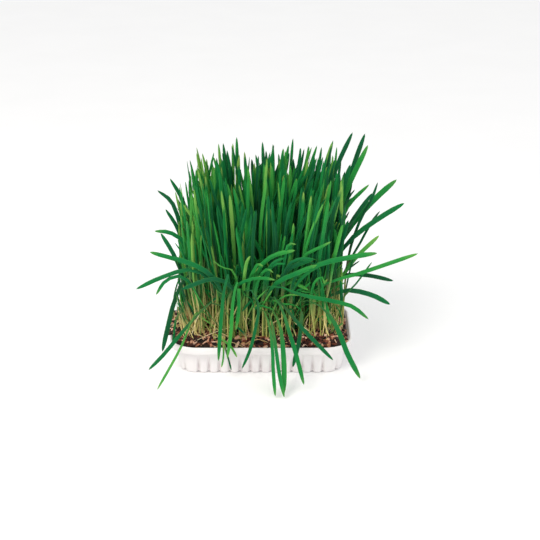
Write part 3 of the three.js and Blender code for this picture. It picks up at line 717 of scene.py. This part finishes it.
def scattered(rng, count, border):
    """Places on the soil. Away from the rim, the share of them given by border is left out."""
    half_x, half_y = TRAY_WIDTH / 2 - SOIL_INSET - 2, TRAY_DEPTH / 2 - SOIL_INSET - 2
    places = []
    while len(places) < count:
        x, y = rng.uniform(-half_x, half_x), rng.uniform(-half_y, half_y)
        out_x, out_y = abs(x) - (half_x - 24), abs(y) - (half_y - 24)
        if out_x > 0 and out_y > 0 and math.hypot(out_x, out_y) > 24:
            continue
        at_rim = abs(x) > half_x - 9 or abs(y) > half_y - 12
        if at_rim or rng.uniform() > border:
            places.append((x, y))
        # Bits lie thick along the front edge.
        if y < 24 - half_y:
            places.append((x + rng.uniform(-3, 3), y + rng.uniform(-1, 4)))
        # More of them lie at the left end, some on the rim where it is straight.
        if x < 18 - half_x:
            places += [(x + dx, y + dy) for dx, dy in rng.uniform(-2, 2, (2, 2))]
            places.append((rng.uniform(0.9, 4.5) - TRAY_WIDTH / 2, 0.52 * y))
    return np.array(places[:count])


def turned_copies(rng, shape, sizes, places, tilt, sink):
    """Copies of a shape, each at its own size, turned about Z, tilted and resting on the soil."""
    count = len(places)
    turn = rng.uniform(0, math.tau, count)
    lean, roll = rng.normal(0, tilt, (2, count))
    points = shape[None] * sizes[:, None]
    for angle, (a, b) in ((roll, (1, 2)), (lean, (0, 2)), (turn, (0, 1))):
        cos, sin = np.cos(angle)[:, None], np.sin(angle)[:, None]
        first, second = points[..., a].copy(), points[..., b].copy()
        points[..., a] = cos * first - sin * second
        points[..., b] = sin * first + cos * second
    points[..., 0] += places[:, None, 0]
    points[..., 1] += places[:, None, 1]
    on_rim = places[:, 0] < RIM_WIDTH + 0.4 - TRAY_WIDTH / 2
    ground = np.where(on_rim, TRAY_HEIGHT + 0.5, soil_height(places[:, 0], places[:, 1]))
    lift = rng.uniform(0, np.where(on_rim, 0.25, 0.45), count) * heap(places[:, 0], places[:, 1])
    points[..., 2] += (ground + lift + sizes[:, 2] * 0.5 - sink)[:, None]
    return points


def kept_inside(points):
    """Holds loose bits off the rim's inner wall, unless they lie higher than the rim."""
    half = np.array([TRAY_WIDTH / 2, TRAY_DEPTH / 2]) - RIM_WIDTH - 0.6
    low = points[..., 2].min(axis=1) < TRAY_HEIGHT
    points[low, :, :2] = np.clip(points[low, :, :2], -half, half)
    return points


def strew(name, rng, blank, places, sizes, finish, tilt, sink, knocks, shades, angle):
    """Lays a copy of the blank at each place, knocked out of shape and with a shade of its own."""
    shape, faces = blank
    bits = turned_copies(rng, shape, sizes, places, tilt, sink)
    if knocks:
        bits += rng.normal(0, knocks, bits.shape)
    own = np.repeat(rng.beta(*shades, len(places))[:, None], len(shape), axis=1)
    piece = lay_copies(name, faces, kept_inside(bits), {"shade": own})
    finish_piece(piece, name, finish, angle)


class WHEATGRASS_OT_soil(bpy.types.Operator):
    """Model the bed of damp peat that fills the tray"""

    bl_idname = "wheatgrass.soil"
    bl_label = "Soil"

    def execute(self, context):
        angles = np.arange(BED_SPOKES) * math.tau / BED_SPOKES
        half = np.array([TRAY_WIDTH / 2, TRAY_DEPTH / 2]) - SOIL_INSET
        corner = RIM_CORNER - SOIL_INSET

        def edge(inset):
            """The rounded rectangle seen from its middle, at equal turns."""
            places = []
            hx, hy, r = half[0] - inset, half[1] - inset, corner - inset
            for angle in angles:
                dx, dy = math.cos(angle), math.sin(angle)
                reach = min(hx / max(abs(dx), 1e-9), hy / max(abs(dy), 1e-9))
                x, y = abs(dx) * reach, abs(dy) * reach
                if x > hx - r and y > hy - r:
                    cx, cy = hx - r, hy - r
                    b = abs(dx) * cx + abs(dy) * cy
                    reach = b + math.sqrt(max(b * b - cx * cx - cy * cy + r * r, 0))
                places.append((dx * reach, dy * reach))
            return places

        rim = edge(0)
        shares = [(k + 1) / BED_RINGS for k in range(BED_RINGS)]
        top = [[(x * s, y * s, crumbly(x * s, y * s)) for x, y in rim] for s in shares]
        top[-1] = [(x, y, min(z, SOIL_EDGE)) for x, y, z in top[-1]]
        down = [[(x, y, LEDGE_TOP + SOIL_GAP) for x, y in edge(LEDGE_INSET + SOIL_GAP - SOIL_INSET)]]
        for inset, z in ((WALL_INSET, TRAY_HEIGHT - WALL_DROP), (FLOOR_INSET, FLOOR)):
            down.append([(x, y, z + SOIL_GAP) for x, y in edge(inset + SOIL_GAP - SOIL_INSET)])
        bed = start_ring("soil_bed", BED_SPOKES)
        raise_rings(bed, top + down)
        bed.data.attributes.remove(bed.data.attributes["number"])
        finish_piece(bed, "soil_bed", damp_peat(context.scene.wheatgrass_soil), angle=80)
        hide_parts("soil")
        return {"FINISHED"}


class WHEATGRASS_OT_bark(bpy.types.Operator):
    """Scatter bark chips and crumbs of peat over the soil"""

    bl_idname = "wheatgrass.bark"
    bl_label = "Bark and crumbs"

    def execute(self, context):
        settings = context.scene.wheatgrass_soil
        rng = np.random.default_rng(BARK_SEED)
        fresh_start()
        bpy.ops.mesh.primitive_cube_add(size=1)
        bpy.ops.object.mode_set(mode="EDIT")
        bpy.ops.mesh.select_all(action="SELECT")
        bpy.ops.mesh.subdivide(number_cuts=1, smoothness=0.4)
        bpy.ops.mesh.normals_make_consistent(inside=False)
        bpy.ops.object.mode_set(mode="OBJECT")
        chip = shape_of(bpy.context.object)
        places = scattered(rng, settings.chips, border=0.85)
        sizes = rng.uniform(*CHIP_SIZES, (len(places), 3))
        bark = loose_bits("composted_pine_bark", (
            (0.0, "120705"), (0.35, "3a170c"), (0.58, "7c3d24"), (0.78, "c08262"), (1.0, "efcdb2")),
            grain=1.1, rough=0.75)
        strew("bark_chips", rng, chip, places, sizes, bark, tilt=0.42, sink=0.1, knocks=0.22,
              shades=(0.8, 1.0), angle=35)

        fresh_start()
        bpy.ops.mesh.primitive_ico_sphere_add(subdivisions=1, radius=0.5)
        crumb = shape_of(bpy.context.object)
        places = scattered(rng, settings.crumbs, border=0.6)
        count = len(places)
        sizes = rng.uniform(0.9, 3.0, (count, 1)) * rng.uniform(0.6, 1.1, (count, 3))
        peat = loose_bits("peat_crumb", (
            (0.0, "0b0604"), (0.4, "20130c"), (0.7, "4c2a1a"), (1.0, "9a6a4e")), grain=0.9, rough=0.85)
        strew("peat_crumbs", rng, crumb, places, sizes, peat, tilt=0.8, sink=0.3, knocks=0.12,
              shades=(1.0, 2.2), angle=20)
        return {"FINISHED"}


class WHEATGRASS_OT_husks(bpy.types.Operator):
    """Scatter the empty seed husks that lie at the foot of the stems"""

    bl_idname = "wheatgrass.husks"
    bl_label = "Seed husks"

    def execute(self, context):
        rng = np.random.default_rng(HUSK_SEED)
        fresh_start()
        bpy.ops.mesh.primitive_uv_sphere_add(segments=8, ring_count=5, radius=0.5,
                                             rotation=(0, math.pi / 2, 0))
        bpy.ops.object.transform_apply(rotation=True)
        shape, faces = shape_of(bpy.context.object)
        # A grain has a crease along one side.
        shape[:, 2] -= 0.16 * np.exp(-(shape[:, 1] / 0.16) ** 2) * (shape[:, 2] > 0)
        places = scattered(rng, context.scene.wheatgrass_soil.husks, border=0.7)
        sizes = rng.uniform(*HUSK_SIZES, (len(places), 3))
        straw = loose_bits("dry_seed_husk", (
            (0.0, "6a3f22"), (0.4, "a8743f"), (0.75, "d2a972"), (1.0, "f0dcb4")), grain=1.4, rough=0.6)
        strew("seed_husks", rng, (shape, faces), places, sizes, straw, tilt=0.35, sink=0.0, knocks=0,
              shades=(2, 1.6), angle=60)
        return {"FINISHED"}


# The grass


def row_centre(row):
    return (row - (ROWS - 1) / 2) * ROW_PITCH


def row_end(row):
    return ROW_END if row % (ROWS - 1) else OUTER_ROW_END


def row_path(row, x):
    """Each sown row wanders a little."""
    return row_centre(row) + 2.2 * np.sin(x / 13 + row * 2.1)


def stand_top(x):
    marks, heights = zip(*STAND_TOP)
    return np.interp(x, marks, heights)


def sway(points):
    """Leans the whole stand with one smooth field, and the outermost leaves outwards."""
    x, v, z = points[..., 0], points[..., 1], points[..., 2]
    rise = np.clip((z - SOIL_Z) / STAND_HEIGHT, 0, 1.2) ** 2
    bend = 7 * np.sin(x / 38 + 0.6) + 4 * np.sin(x / 19 + 2)
    outer = np.sign(v) * np.maximum(0, np.abs(v) - 42)
    return np.stack([x, v + (0.1 * v + 0.9 * outer + bend) * rise, z], axis=-1)


def through_knots(routes, steps=10):
    """Smooth lines through the knots of each route, (leaves, points, 3)."""
    before = 2 * routes[:, :1] - routes[:, 1:2]
    after = 2 * routes[:, -1:] - routes[:, -2:-1]
    knots = np.concatenate([before, routes, after], axis=1)
    gaps = np.sqrt(np.linalg.norm(np.diff(knots, axis=1), axis=2))[..., None]
    lines = []
    for k in range(routes.shape[1] - 1):
        p0, p1, p2, p3 = (knots[:, k + i, None] for i in range(4))
        d0, d1, d2 = (gaps[:, k + i, None] for i in range(3))
        leave = ((p1 - p0) / d0 - (p2 - p0) / (d0 + d1) + (p2 - p1) / d1) * d1
        arrive = ((p2 - p1) / d1 - (p3 - p1) / (d1 + d2) + (p3 - p2) / d2) * d1
        t = np.linspace(0, 1, steps + 1)[None, :, None]
        t = t if k == routes.shape[1] - 2 else t[:, :-1]
        lines.append((2 * t ** 3 - 3 * t ** 2 + 1) * p1 + (t ** 3 - 2 * t ** 2 + t) * leave
                     + (3 * t ** 2 - 2 * t ** 3) * p2 + (t ** 3 - t ** 2) * arrive)
    return np.concatenate(lines, axis=1)


def at_shares(lines, values, shares):
    """The values carried by each line at the same shares of its length."""
    steps = np.linalg.norm(np.diff(lines, axis=1), axis=2)
    far = np.concatenate([np.zeros((len(lines), 1)), np.cumsum(steps, axis=1)], axis=1)
    far /= far[:, -1:]
    return np.array([[np.interp(shares, f, value[:, axis]) for axis in range(3)]
                     for f, value in zip(far, values)]).transpose(0, 2, 1)


def directions(lines):
    along = np.gradient(lines, axis=1)
    return along / np.linalg.norm(along, axis=2, keepdims=True)


def carried(along, side):
    """Carries each leaf's flat side along its line without twisting it."""
    flats = []
    for k in range(along.shape[1]):
        side = side - along[:, k] * np.sum(side * along[:, k], axis=1, keepdims=True)
        side /= np.linalg.norm(side, axis=1, keepdims=True)
        flats.append(side)
    return np.stack(flats, axis=1)


def turned_forward(along, flat, share):
    """Turns the flat side of a leaf by a share towards the tray's front and a little upwards."""
    face = np.cross(along, (0, -0.94, 0.34))
    same = np.sign(np.sum(face * flat, axis=(1, 2)) + 1e-9)[:, None, None]
    return flat * (1 - share[..., None]) + same * face * share[..., None]


def blade_blank():
    """A straight blade of length 1 along Z, four sided, with a point at the top."""
    fresh_start()
    bpy.ops.mesh.primitive_circle_add(vertices=4, radius=1, fill_type="NGON")
    blank = bpy.context.object
    bpy.ops.object.mode_set(mode="EDIT")
    bpy.ops.mesh.select_all(action="SELECT")
    shares = [*BLADE_STATIONS, 1]
    for low, high in zip(shares, shares[1:]):
        bpy.ops.mesh.extrude_region_move(TRANSFORM_OT_translate={"value": (0, 0, high - low)})
    bpy.ops.mesh.merge(type="CENTER")
    bpy.ops.mesh.select_all(action="SELECT")
    bpy.ops.mesh.normals_make_consistent(inside=False)
    bpy.ops.object.mode_set(mode="OBJECT")
    return shape_of(blank)


class Blades:
    """Leaves of one piece, gathered before they are laid along their lines."""

    def __init__(self):
        self.groups = []

    def grow(self, routes, width, facing, twist, tone, ripe_and_light, turned, opens=1.0, slim=0.7, late=0.04,
             shown=0.0):
        """Adds leaves whose routes have the same number of knots."""
        routes = np.asarray(routes, float)
        count = len(routes)
        full = [np.broadcast_to(np.asarray(value, float), (count,))
                for value in (width, facing, twist, tone, ripe_and_light, turned, opens, slim, late, shown)]
        self.groups.append((routes, full))

    def lay(self, name, shape, faces, thickness):
        points, blade, hue = [], [], []
        for routes, values in self.groups:
            laid = lay_blades(shape, routes, values, thickness)
            count = len(laid)
            points.append(laid)
            marks = np.stack([shape[:, 2], shape[:, 0], shape[:, 1]], axis=1)
            blade.append(np.broadcast_to(marks, (count, *marks.shape)))
            own = np.stack(values[3:6], axis=1)[:, None]
            hue.append(np.broadcast_to(own, (count, len(shape), 3)))
        marks = {"blade": np.concatenate(blade), "hue": np.concatenate(hue)}
        return lay_copies(name, faces, within_box(np.concatenate(points)), marks)


def within_box(points):
    low, high = (np.array(corner) / MM for corner in CAD_BOX)
    return np.clip(points, low + 0.05, high - 0.05)


def lay_blades(shape, routes, values, thickness):
    """Bends a copy of the blank along each route, opens it from the sheath and sways it."""
    width, facing, twist, _, _, _, opens, slim, late, shown = (value[:, None] for value in values)
    shares = np.array([*BLADE_STATIONS, 1])
    curves = through_knots(routes)
    side = np.stack([np.cos(facing[:, 0]), np.sin(facing[:, 0]), np.zeros(len(routes))], axis=1)
    lines = at_shares(curves, curves, shares)
    along = directions(lines)
    flat = at_shares(curves, carried(directions(curves), side), shares)
    flat = turned_forward(along, flat, shown * soft_step((shares - 0.3) / 0.35))
    keel = np.cross(along, flat)
    keel /= np.linalg.norm(keel, axis=2, keepdims=True)
    flat = np.cross(keel, along)
    turn = (twist * shares)[..., None]
    flat, keel = flat * np.cos(turn) + keel * np.sin(turn), keel * np.cos(turn) - flat * np.sin(turn)

    open_share = soft_step((shares - OPENS_FROM - late) / (OPEN_AT - OPENS_FROM)) * opens
    tip = np.clip(1 - np.clip((shares - TIP_FROM) / (1 - TIP_FROM), 0, 1) ** 2, 0, 1) ** 0.62
    half = lerp(SHEATH_WIDTH * slim, width, open_share) / 2 * tip
    thick = SHEATH_THICK * slim * tip
    edge_lift = lerp(0.0, 0.16, open_share) * half * 2
    upper = lerp(thick / 2, thickness * 0.4 * tip, open_share)
    lower = lerp(thick / 2, thickness * 0.6 * tip, open_share)

    station = np.searchsorted(shares, shape[:, 2] - 1e-6)
    across = shape[:, 0]
    bulge = np.where(shape[:, 1] > 0.5, upper[:, station], 0) - np.where(shape[:, 1] < -0.5,
                                                                        lower[:, station], 0)
    rise = bulge + (np.abs(across) - 0.5) * edge_lift[:, station]
    points = (lines[:, station] + flat[:, station] * (across * half[:, station])[..., None]
              + keel[:, station] * rise[..., None])
    return sway(points)


def fanned(x):
    """The stand parts near its middle: how far a leaf's tip lies out from its root."""
    return FAN_SHIFT + FAN_REACH * np.sin(math.pi * x / ROW_END)


def leaning(x, row, lane):
    """How far the leaves of a lane lean together, in waves along the row."""
    phase = row * 1.9 + lane * 2.4
    return 5 * np.sin(x / 27 + phase) + 4 * np.sin(x / 12 + 2 * phase)


def left_share(x):
    """How far a place lies in the left end of the stand, where leaves are narrower and lighter; the
    lightness is partly painted light from the left.
    """
    return soft_step((-x - 22) / 34)


def huddled(x, row):
    """How far a stem stands aside: seeds fell in heaps, and the bark shows between their stems."""
    return (2.1 * np.sin(x / 2.9 + 0.6) + 2.2 * np.sin(x / 5.3 + 2.1)) * (row < OPEN_ROWS)


def set_aside(rng, routes, row, spread, end):
    """Moves each stem's foot aside, so that stems huddle together and cross near the soil."""
    count, is_open = len(routes), row < OPEN_ROWS
    foot = routes[:, 0, 0] + rng.normal(0, spread + 3 * is_open, count)
    routes[:, 0, 0] = np.clip(foot + huddled(foot, row), -end, end)
    bend = rng.normal(0, 3 if is_open else 1, count)
    routes[:, 1, 0] += bend + huddled(routes[:, 1, 0], row)


def routes_through(path, *knots):
    """Routes of many leaves: path gives x, y and z at each knot from the knot's own values."""
    return np.stack([np.stack(path(*knot), axis=1) for knot in zip(*knots)], axis=1)


def main_leaves(blades, row, leaf_width):
    """The upright leaves that the solid of the row has, from the same draws."""
    draw = draws(1000 + 77 * row)

    def spread():
        return draw() + draw() + draw() - 1.5

    count = LANES * LANE_LEAVES
    end = row_end(row) - 1.2
    lowest, highest = lerp(0.5, 0.78, min(1, row / 3)), lerp(0.86, 1, min(1, row / 2))
    routes, widths, facings, twists = [], [], [], []
    for i in range(count):
        lane = (i + row) % LANES
        lane_v = row_centre(row) + (lane - 0.66) * LANE_WIDTH
        even = lerp(max(-end, -80), end, (i + 0.5 + 0.5 * (draw() - 0.5)) / count)
        x0 = min(max(even + CLUMPING * math.sin(even / 4.2 + row * 1.7), -end), end)
        lean = fanned(x0) + leaning(x0, row, lane) + 3 * spread()
        curl = 0.5 * spread()
        tall = (stand_top(x0) - SOIL_Z) * lerp(lowest, highest, math.sqrt(draw())) + SOIL_Z - ROOT_Z
        routes.append([(x0 + lean * s ** 1.7 + 16 * curl * s ** 5,
                        lerp(row_path(row, x0), lane_v, min(1, 2.6 * s)),
                        ROOT_Z + tall * (s - 0.05 * abs(curl) * s ** 6)) for s in TO_LEAF_KNOTS])
        widths.append(leaf_width * lerp(0.85, 1.15, draw()) * (1 - LEFT_CHANGE * left_share(x0)))
        facings.append(0.75 * spread())
        twists.append(0.8 * spread())
    rng = np.random.default_rng(MAIN_SEED + row)
    routes = np.array(routes)
    x0 = routes[:, 0, 0].copy()
    set_aside(rng, routes, row, 4, end)
    blades.grow(routes, widths, facings, twists,
                # Lighter at the left end: partly painted light from the left, partly paler thinner leaves.
                tone=rng.beta(1.0, 1.6, count) + LEFT_CHANGE * left_share(x0),
                ripe_and_light=ripeness_and_painted_light(rng, x0, row), late=rng.uniform(0.08, 0.26, count),
                turned=(rng.uniform(0, 1, count) > 0.94) * 0.8, slim=rng.uniform(0.5, 0.75, count))


def ripeness_and_painted_light(rng, x, row):
    """How pale a sheath is: palest at the left edge of the stand, partly as painted light, and dark green
    in its middle, with the inner rows darkened as painted shade.
    """
    # Paler at the left end, partly painted light from the left and partly thinner paler stems; paler at
    # the right end; greener near the middle.
    edge = 0.8 * left_share(x) + 0.5 * soft_step((x - 34) / 30)
    edge -= 0.16 * soft_step((46 - np.abs(x)) / 30)
    # Painted shade: the sheaths of the inner rows are made darker green.
    inner_shade = 0.14 * min(row, ROWS - 1 - row)
    return np.clip(rng.beta(0.7, 1.2, len(x)) + edge - inner_shade, 0, 1)


def reaching_leaves(blades, row):
    """Leaves that reach out of the stand, at the sides and from the front row."""
    open_lane = row_centre(row) - 1.5 * LANE_WIDTH
    found = [(width, turn, tone, root_x, [(x, open_lane, z) for x, z in line])
             for lane, width, turn, tone, root_x, line in SIDE_LEAVES if lane == row]
    if row == 0:
        # Those at the front are seen flat on, and look wider than they do from the side.
        found += [(FRONT_WIDTH_SHARE * width, *others) for width, *others in FRONT_LEAVES]
    for width, turn, tone, root_x, line in found:
        # A leaf that hangs down is still narrow where it turns over.
        hangs = line[-1][2] < 0.55 * max(z for _, _, z in line)
        route = [(root_x, row_path(row, root_x), ROOT_Z), *line]
        blades.grow([route], width, math.radians(turn), 0, tone - 0.13, ripe_and_light=0.4,
                    turned=0.2 * (tone > 0.5), slim=0.8, late=0.16 if hangs else 0.12, shown=0.85)


def thicket(blades, row, leaf_width):
    """Leaves between the main ones. In the front rows they are lower and stand forward."""
    rng = np.random.default_rng(THICKET_SEED + row)
    count = THICKET_LEAVES[row]
    front = max(0, 1 - row / 3)
    end = row_end(row) - 1.5
    x0 = rng.uniform(-min(end, 81), end, count)
    v0 = row_centre(row) + rng.uniform(-7.5 if row else -1, 7.5 if row < ROWS - 1 else 2, count)
    lean = 1.8 * fanned(x0) + leaning(x0, row, rng.integers(0, LANES, count))
    lean += rng.normal(0, 12 + 6 * front, count)
    lean = np.where(np.abs(x0 + lean) > 86, 86 * np.sign(x0) - x0, lean)
    drift = rng.normal(-5 * front, 3.5, count)
    curl = rng.normal(0, 0.65, count) * (1 - (x0 / 90) ** 2)
    share = rng.uniform(lerp(0.62, 0.4, front), lerp(1, 0.86, front), count)
    top = np.minimum(stand_top(x0), stand_top(1.08 * (x0 + lean)) - 4)
    tall = (top - SOIL_Z) * share + SOIL_Z - ROOT_Z
    grows = rng.uniform(1, 1.7, count)
    routes = routes_through(lambda s: (
        x0 + lean * share * s ** grows + 14 * curl * s ** 5, v0 + drift * s,
        ROOT_Z + tall * (s - 0.06 * np.abs(curl) * s ** 6)), TO_LEAF_KNOTS)
    set_aside(rng, routes, row, 5, end)
    blades.grow(routes, leaf_width * rng.uniform(0.7, 1.1, count) * (1 - LEFT_CHANGE * left_share(x0)),
                rng.normal(0, 0.4, count), rng.normal(0, 0.45, count),
                # Lighter at the left end: partly painted light from the left, partly paler thinner leaves.
                tone=rng.beta(1.0, 1.6, count) + LEFT_CHANGE * left_share(x0),
                ripe_and_light=ripeness_and_painted_light(rng, x0, row),
                turned=(rng.uniform(0, 1, count) > 0.91) * 0.8, slim=rng.uniform(0.42, 0.7, count),
                late=rng.uniform(0.1, 0.28, count))


def young_shoots(blades, row):
    """Thin young leaves and bare stems, which cross near the soil."""
    rng = np.random.default_rng(SHOOT_SEED + row)
    count = YOUNG_SHOOTS[row]
    end = row_end(row)
    # They stand closer together towards the left end.
    x0 = lerp(-min(end, 82), end, rng.uniform(0, 1, count) ** 1.35)
    v0 = row_centre(row) + rng.uniform(-9 if row else -2, 7.5 if row < ROWS - 1 else 3, count)
    x0 = np.clip(x0 + huddled(x0, row), -end, end)
    lowest, slant, ahead, arch = (26, 0.62, -5, 5) if row < CROSSING_ROWS else (32, 0.34, -2, 3)
    tall = rng.uniform(lowest, 106, count) * (1 - 0.25 * (x0 / 90) ** 4)
    lean = rng.normal(0, slant, count) * tall
    lean = np.where(np.abs(x0 + lean) > 85, 85 * np.sign(x0) - x0, lean)
    drift = rng.normal(ahead, 5, count)
    bow = rng.normal(0, arch, count)
    routes = routes_through(lambda s: (
        x0 + lean * s + bow * math.sin(math.pi * s), v0 + drift * s, ROOT_Z + tall * s), TO_LEAF_KNOTS)
    blades.grow(routes, rng.uniform(1.0, 2.4, count), rng.normal(0, 0.8, count),
                rng.normal(0, 0.8, count), tone=rng.beta(2, 2, count),
                ripe_and_light=np.clip(ripeness_and_painted_light(rng, x0, row) + 0.25, 0, 1),
                turned=(rng.uniform(0, 1, count) > 0.7) * 0.9, slim=rng.uniform(0.4, 0.65, count))


def bowed_leaves(blades, row, leaf_width):
    """Leaves that have fallen out of the stand, mostly to the right of its front's middle."""
    rng = np.random.default_rng(BOWED_SEED + row)
    count = BOWED_LEAVES[row]
    out = 1 if row == ROWS - 1 else -1
    x0 = np.clip(rng.normal(12, 32, count), -48, 62)
    swing = rng.choice((-1, 1), count) * rng.uniform(6, 34, count)
    top = rng.uniform(72, 128, count) - 10 * min(row, ROWS - 1 - row)
    ahead = rng.uniform(2, 12, count)
    droop = rng.uniform(-14, 22, count)
    v0 = row_centre(row) + rng.uniform(-2, 2, count)
    routes = routes_through(lambda aside, front, up, fall: (
        x0 + swing * aside, v0 + out * ahead * front,
        ROOT_Z + (top - ROOT_Z) * up - droop * fall), *BOWED_KNOTS)
    blades.grow(routes, leaf_width * rng.uniform(0.45, 1.0, count), rng.normal(0, 0.5, count),
                rng.normal(0, 0.6, count), tone=rng.beta(1.8, 2, count), ripe_and_light=ripeness_and_painted_light(rng, x0, row),
                turned=(rng.uniform(0, 1, count) > 0.8) * 0.8, late=0.2, slim=0.6, shown=0.4)


class WHEATGRASS_OT_grass(bpy.types.Operator):
    """Grow the seven rows of leaves and the slight loose leaves round them"""

    bl_idname = "wheatgrass.grass"
    bl_label = "Grass"

    def execute(self, context):
        settings = context.scene.wheatgrass_grass
        leaf_width, thickness = settings.leaf_width / MM, settings.thickness / MM
        shape, faces = blade_blank()
        living = living_leaf()
        for row in range(ROWS):
            blades = Blades()
            main_leaves(blades, row, leaf_width)
            reaching_leaves(blades, row)
            thicket(blades, row, leaf_width)
            young_shoots(blades, row)
            if BOWED_LEAVES[row]:
                bowed_leaves(blades, row, leaf_width)
            name = f"leaves_row_{row + 1}"
            piece = blades.lay(name, shape, faces, thickness)
            finish_piece(piece, name, living, angle=55)
            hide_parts(f"grass_row_{row + 1}")
        loose = Blades()
        for width, turn, tone, line in LOOSE_LEAVES:
            loose.grow([line], width, math.radians(turn), 0, tone - 0.1, ripe_and_light=0.7,
                       turned=0.4 * (tone > 0.5), slim=min(1.0, width / 3), shown=0.6)
        piece = loose.lay("loose_leaves", shape, faces, thickness)
        finish_piece(piece, "loose_leaves", living, angle=55)
        return {"FINISHED"}


class WHEATGRASS_OT_stalks(bpy.types.Operator):
    """Lean dry stalks and root threads among the stems"""

    bl_idname = "wheatgrass.stalks"
    bl_label = "Dry stalks"

    def execute(self, context):
        rng = np.random.default_rng(STALK_SEED)
        shape, faces = blade_blank()
        count = context.scene.wheatgrass_soil.straws
        places = scattered(rng, count, border=0.85)
        x0, y0 = np.maximum(places[:, 0] * 0.93, -82), places[:, 1] * 0.93
        ground = soil_height(x0, y0)
        lean = rng.normal(0, 16, count)
        drift = rng.normal(0, 5, count)
        tall = rng.uniform(1, 34, count) * (rng.uniform(0, 1, count) > 0.35)
        bow = rng.uniform(0.8, 5, count)
        routes = routes_through(lambda s: (
            x0 + lean * s - lean / 2, y0 + drift * s,
            ground + 0.5 + tall * s + bow * math.sin(math.pi * s)), TO_LEAF_KNOTS)
        stalks = Blades()
        stalks.grow(routes, 1.2, rng.normal(0, 1, count), 0, tone=rng.uniform(0, 1, count), ripe_and_light=1,
                    turned=0, opens=0.0, slim=rng.uniform(0.3, 0.62, count))
        piece = stalks.lay("dry_stalks", shape, faces, 0.3)
        own = rng.beta(2.2, 1.6, count).repeat(len(shape))
        piece.data.attributes.new("shade", "FLOAT", "POINT").data.foreach_set("value", own)
        straw = loose_bits("dry_wheat_stalk", (
            (0.0, "7a4c2a"), (0.35, "b48a52"), (0.7, "dcc287"), (1.0, "f2e6bd")), grain=4.0, rough=0.6)
        finish_piece(piece, "dry_stalks", straw, angle=60)
        return {"FINISHED"}


# The stage


def soft_light(name, place, size, power, tint):
    fresh_start()
    bpy.ops.object.light_add(type="AREA", location=place)
    lamp = bpy.context.object
    lamp.name = name
    lamp.data.shape = "DISK"
    lamp.data.size = size
    lamp.data.energy = power
    lamp.data.color = colour(tint)[:3]
    lamp.rotation_euler = (Vector(LIGHTS_AIM) - Vector(place)).to_track_quat("-Z", "Y").to_euler()


class WHEATGRASS_OT_studio(bpy.types.Operator):
    """Set the pale floor, the soft light and the camera"""

    bl_idname = "wheatgrass.studio"
    bl_label = "Studio"

    def execute(self, context):
        settings = context.scene.wheatgrass_studio
        fresh_start()
        bpy.ops.mesh.primitive_plane_add(size=FLOOR_SIZE, location=(0, 2, -0.0002))
        floor = context.object
        bpy.ops.object.transform_apply(location=True)
        floor.name = "studio_floor"
        floor.data.materials.append(studio_paper())
        soft_light("key", KEY_PLACE, KEY_SIZE, settings.key_power, "fffaf2")
        soft_light("fill", FILL_PLACE, FILL_SIZE, settings.fill_power, "f4f8ff")
        # A white dome that is brighter overhead than at the horizon.
        world = bpy.data.worlds.new("studio")
        world.use_nodes = True
        dome = world.node_tree
        aim = add(dome, "TexCoord").outputs["Generated"]
        upward = add(dome, "SeparateXYZ", {0: aim}).outputs["Z"]
        glow = add(dome, "MapRange", {"Value": upward, "To Min": 0.4 * settings.sky,
                                      "To Max": 1.35 * settings.sky})
        feed(dome, dome.nodes["Background"], {"Strength": glow.outputs[0], "Color": colour("ffffff")})
        context.scene.world = world
        bpy.ops.object.camera_add(location=CAMERA_PLACE, rotation=(math.radians(CAMERA_PITCH), 0, 0))
        camera = context.object
        camera.data.lens = LENS
        camera.data.sensor_width = SENSOR
        context.scene.camera = camera
        context.scene.view_settings.view_transform = "Standard"
        return {"FINISHED"}


class WHEATGRASS_PT_panel(bpy.types.Panel):
    """The steps that build the tray of wheatgrass"""

    bl_idname = "WHEATGRASS_PT_panel"
    bl_label = "Wheatgrass Tray"
    bl_space_type = "VIEW_3D"
    bl_region_type = "UI"
    bl_category = "Wheatgrass"

    def draw(self, context):
        for group, _ in SETTINGS:
            owner = getattr(context.scene, group)
            for name in owner.__annotations__:
                self.layout.prop(owner, name)
        for step in STEPS:
            self.layout.operator(step.bl_idname)


SETTINGS = (
    ("wheatgrass_tray", TraySettings),
    ("wheatgrass_soil", SoilSettings),
    ("wheatgrass_grass", GrassSettings),
    ("wheatgrass_studio", StudioSettings),
)
STEPS = (
    WHEATGRASS_OT_tray,
    WHEATGRASS_OT_soil,
    WHEATGRASS_OT_bark,
    WHEATGRASS_OT_husks,
    WHEATGRASS_OT_grass,
    WHEATGRASS_OT_stalks,
    WHEATGRASS_OT_studio,
)


def register():
    for group, kind in SETTINGS:
        bpy.utils.register_class(kind)
        setattr(bpy.types.Scene, group, bpy.props.PointerProperty(type=kind))
    for step in STEPS:
        bpy.utils.register_class(step)
    bpy.utils.register_class(WHEATGRASS_PT_panel)


def unregister():
    bpy.utils.unregister_class(WHEATGRASS_PT_panel)
    for step in reversed(STEPS):
        bpy.utils.unregister_class(step)
    for group, kind in reversed(SETTINGS):
        delattr(bpy.types.Scene, group)
        bpy.utils.unregister_class(kind)


def main():
    register()
    for step in STEPS:
        group, name = step.bl_idname.split(".")
        getattr(getattr(bpy.ops, group), name)()


if __name__ == "__main__":
    main()
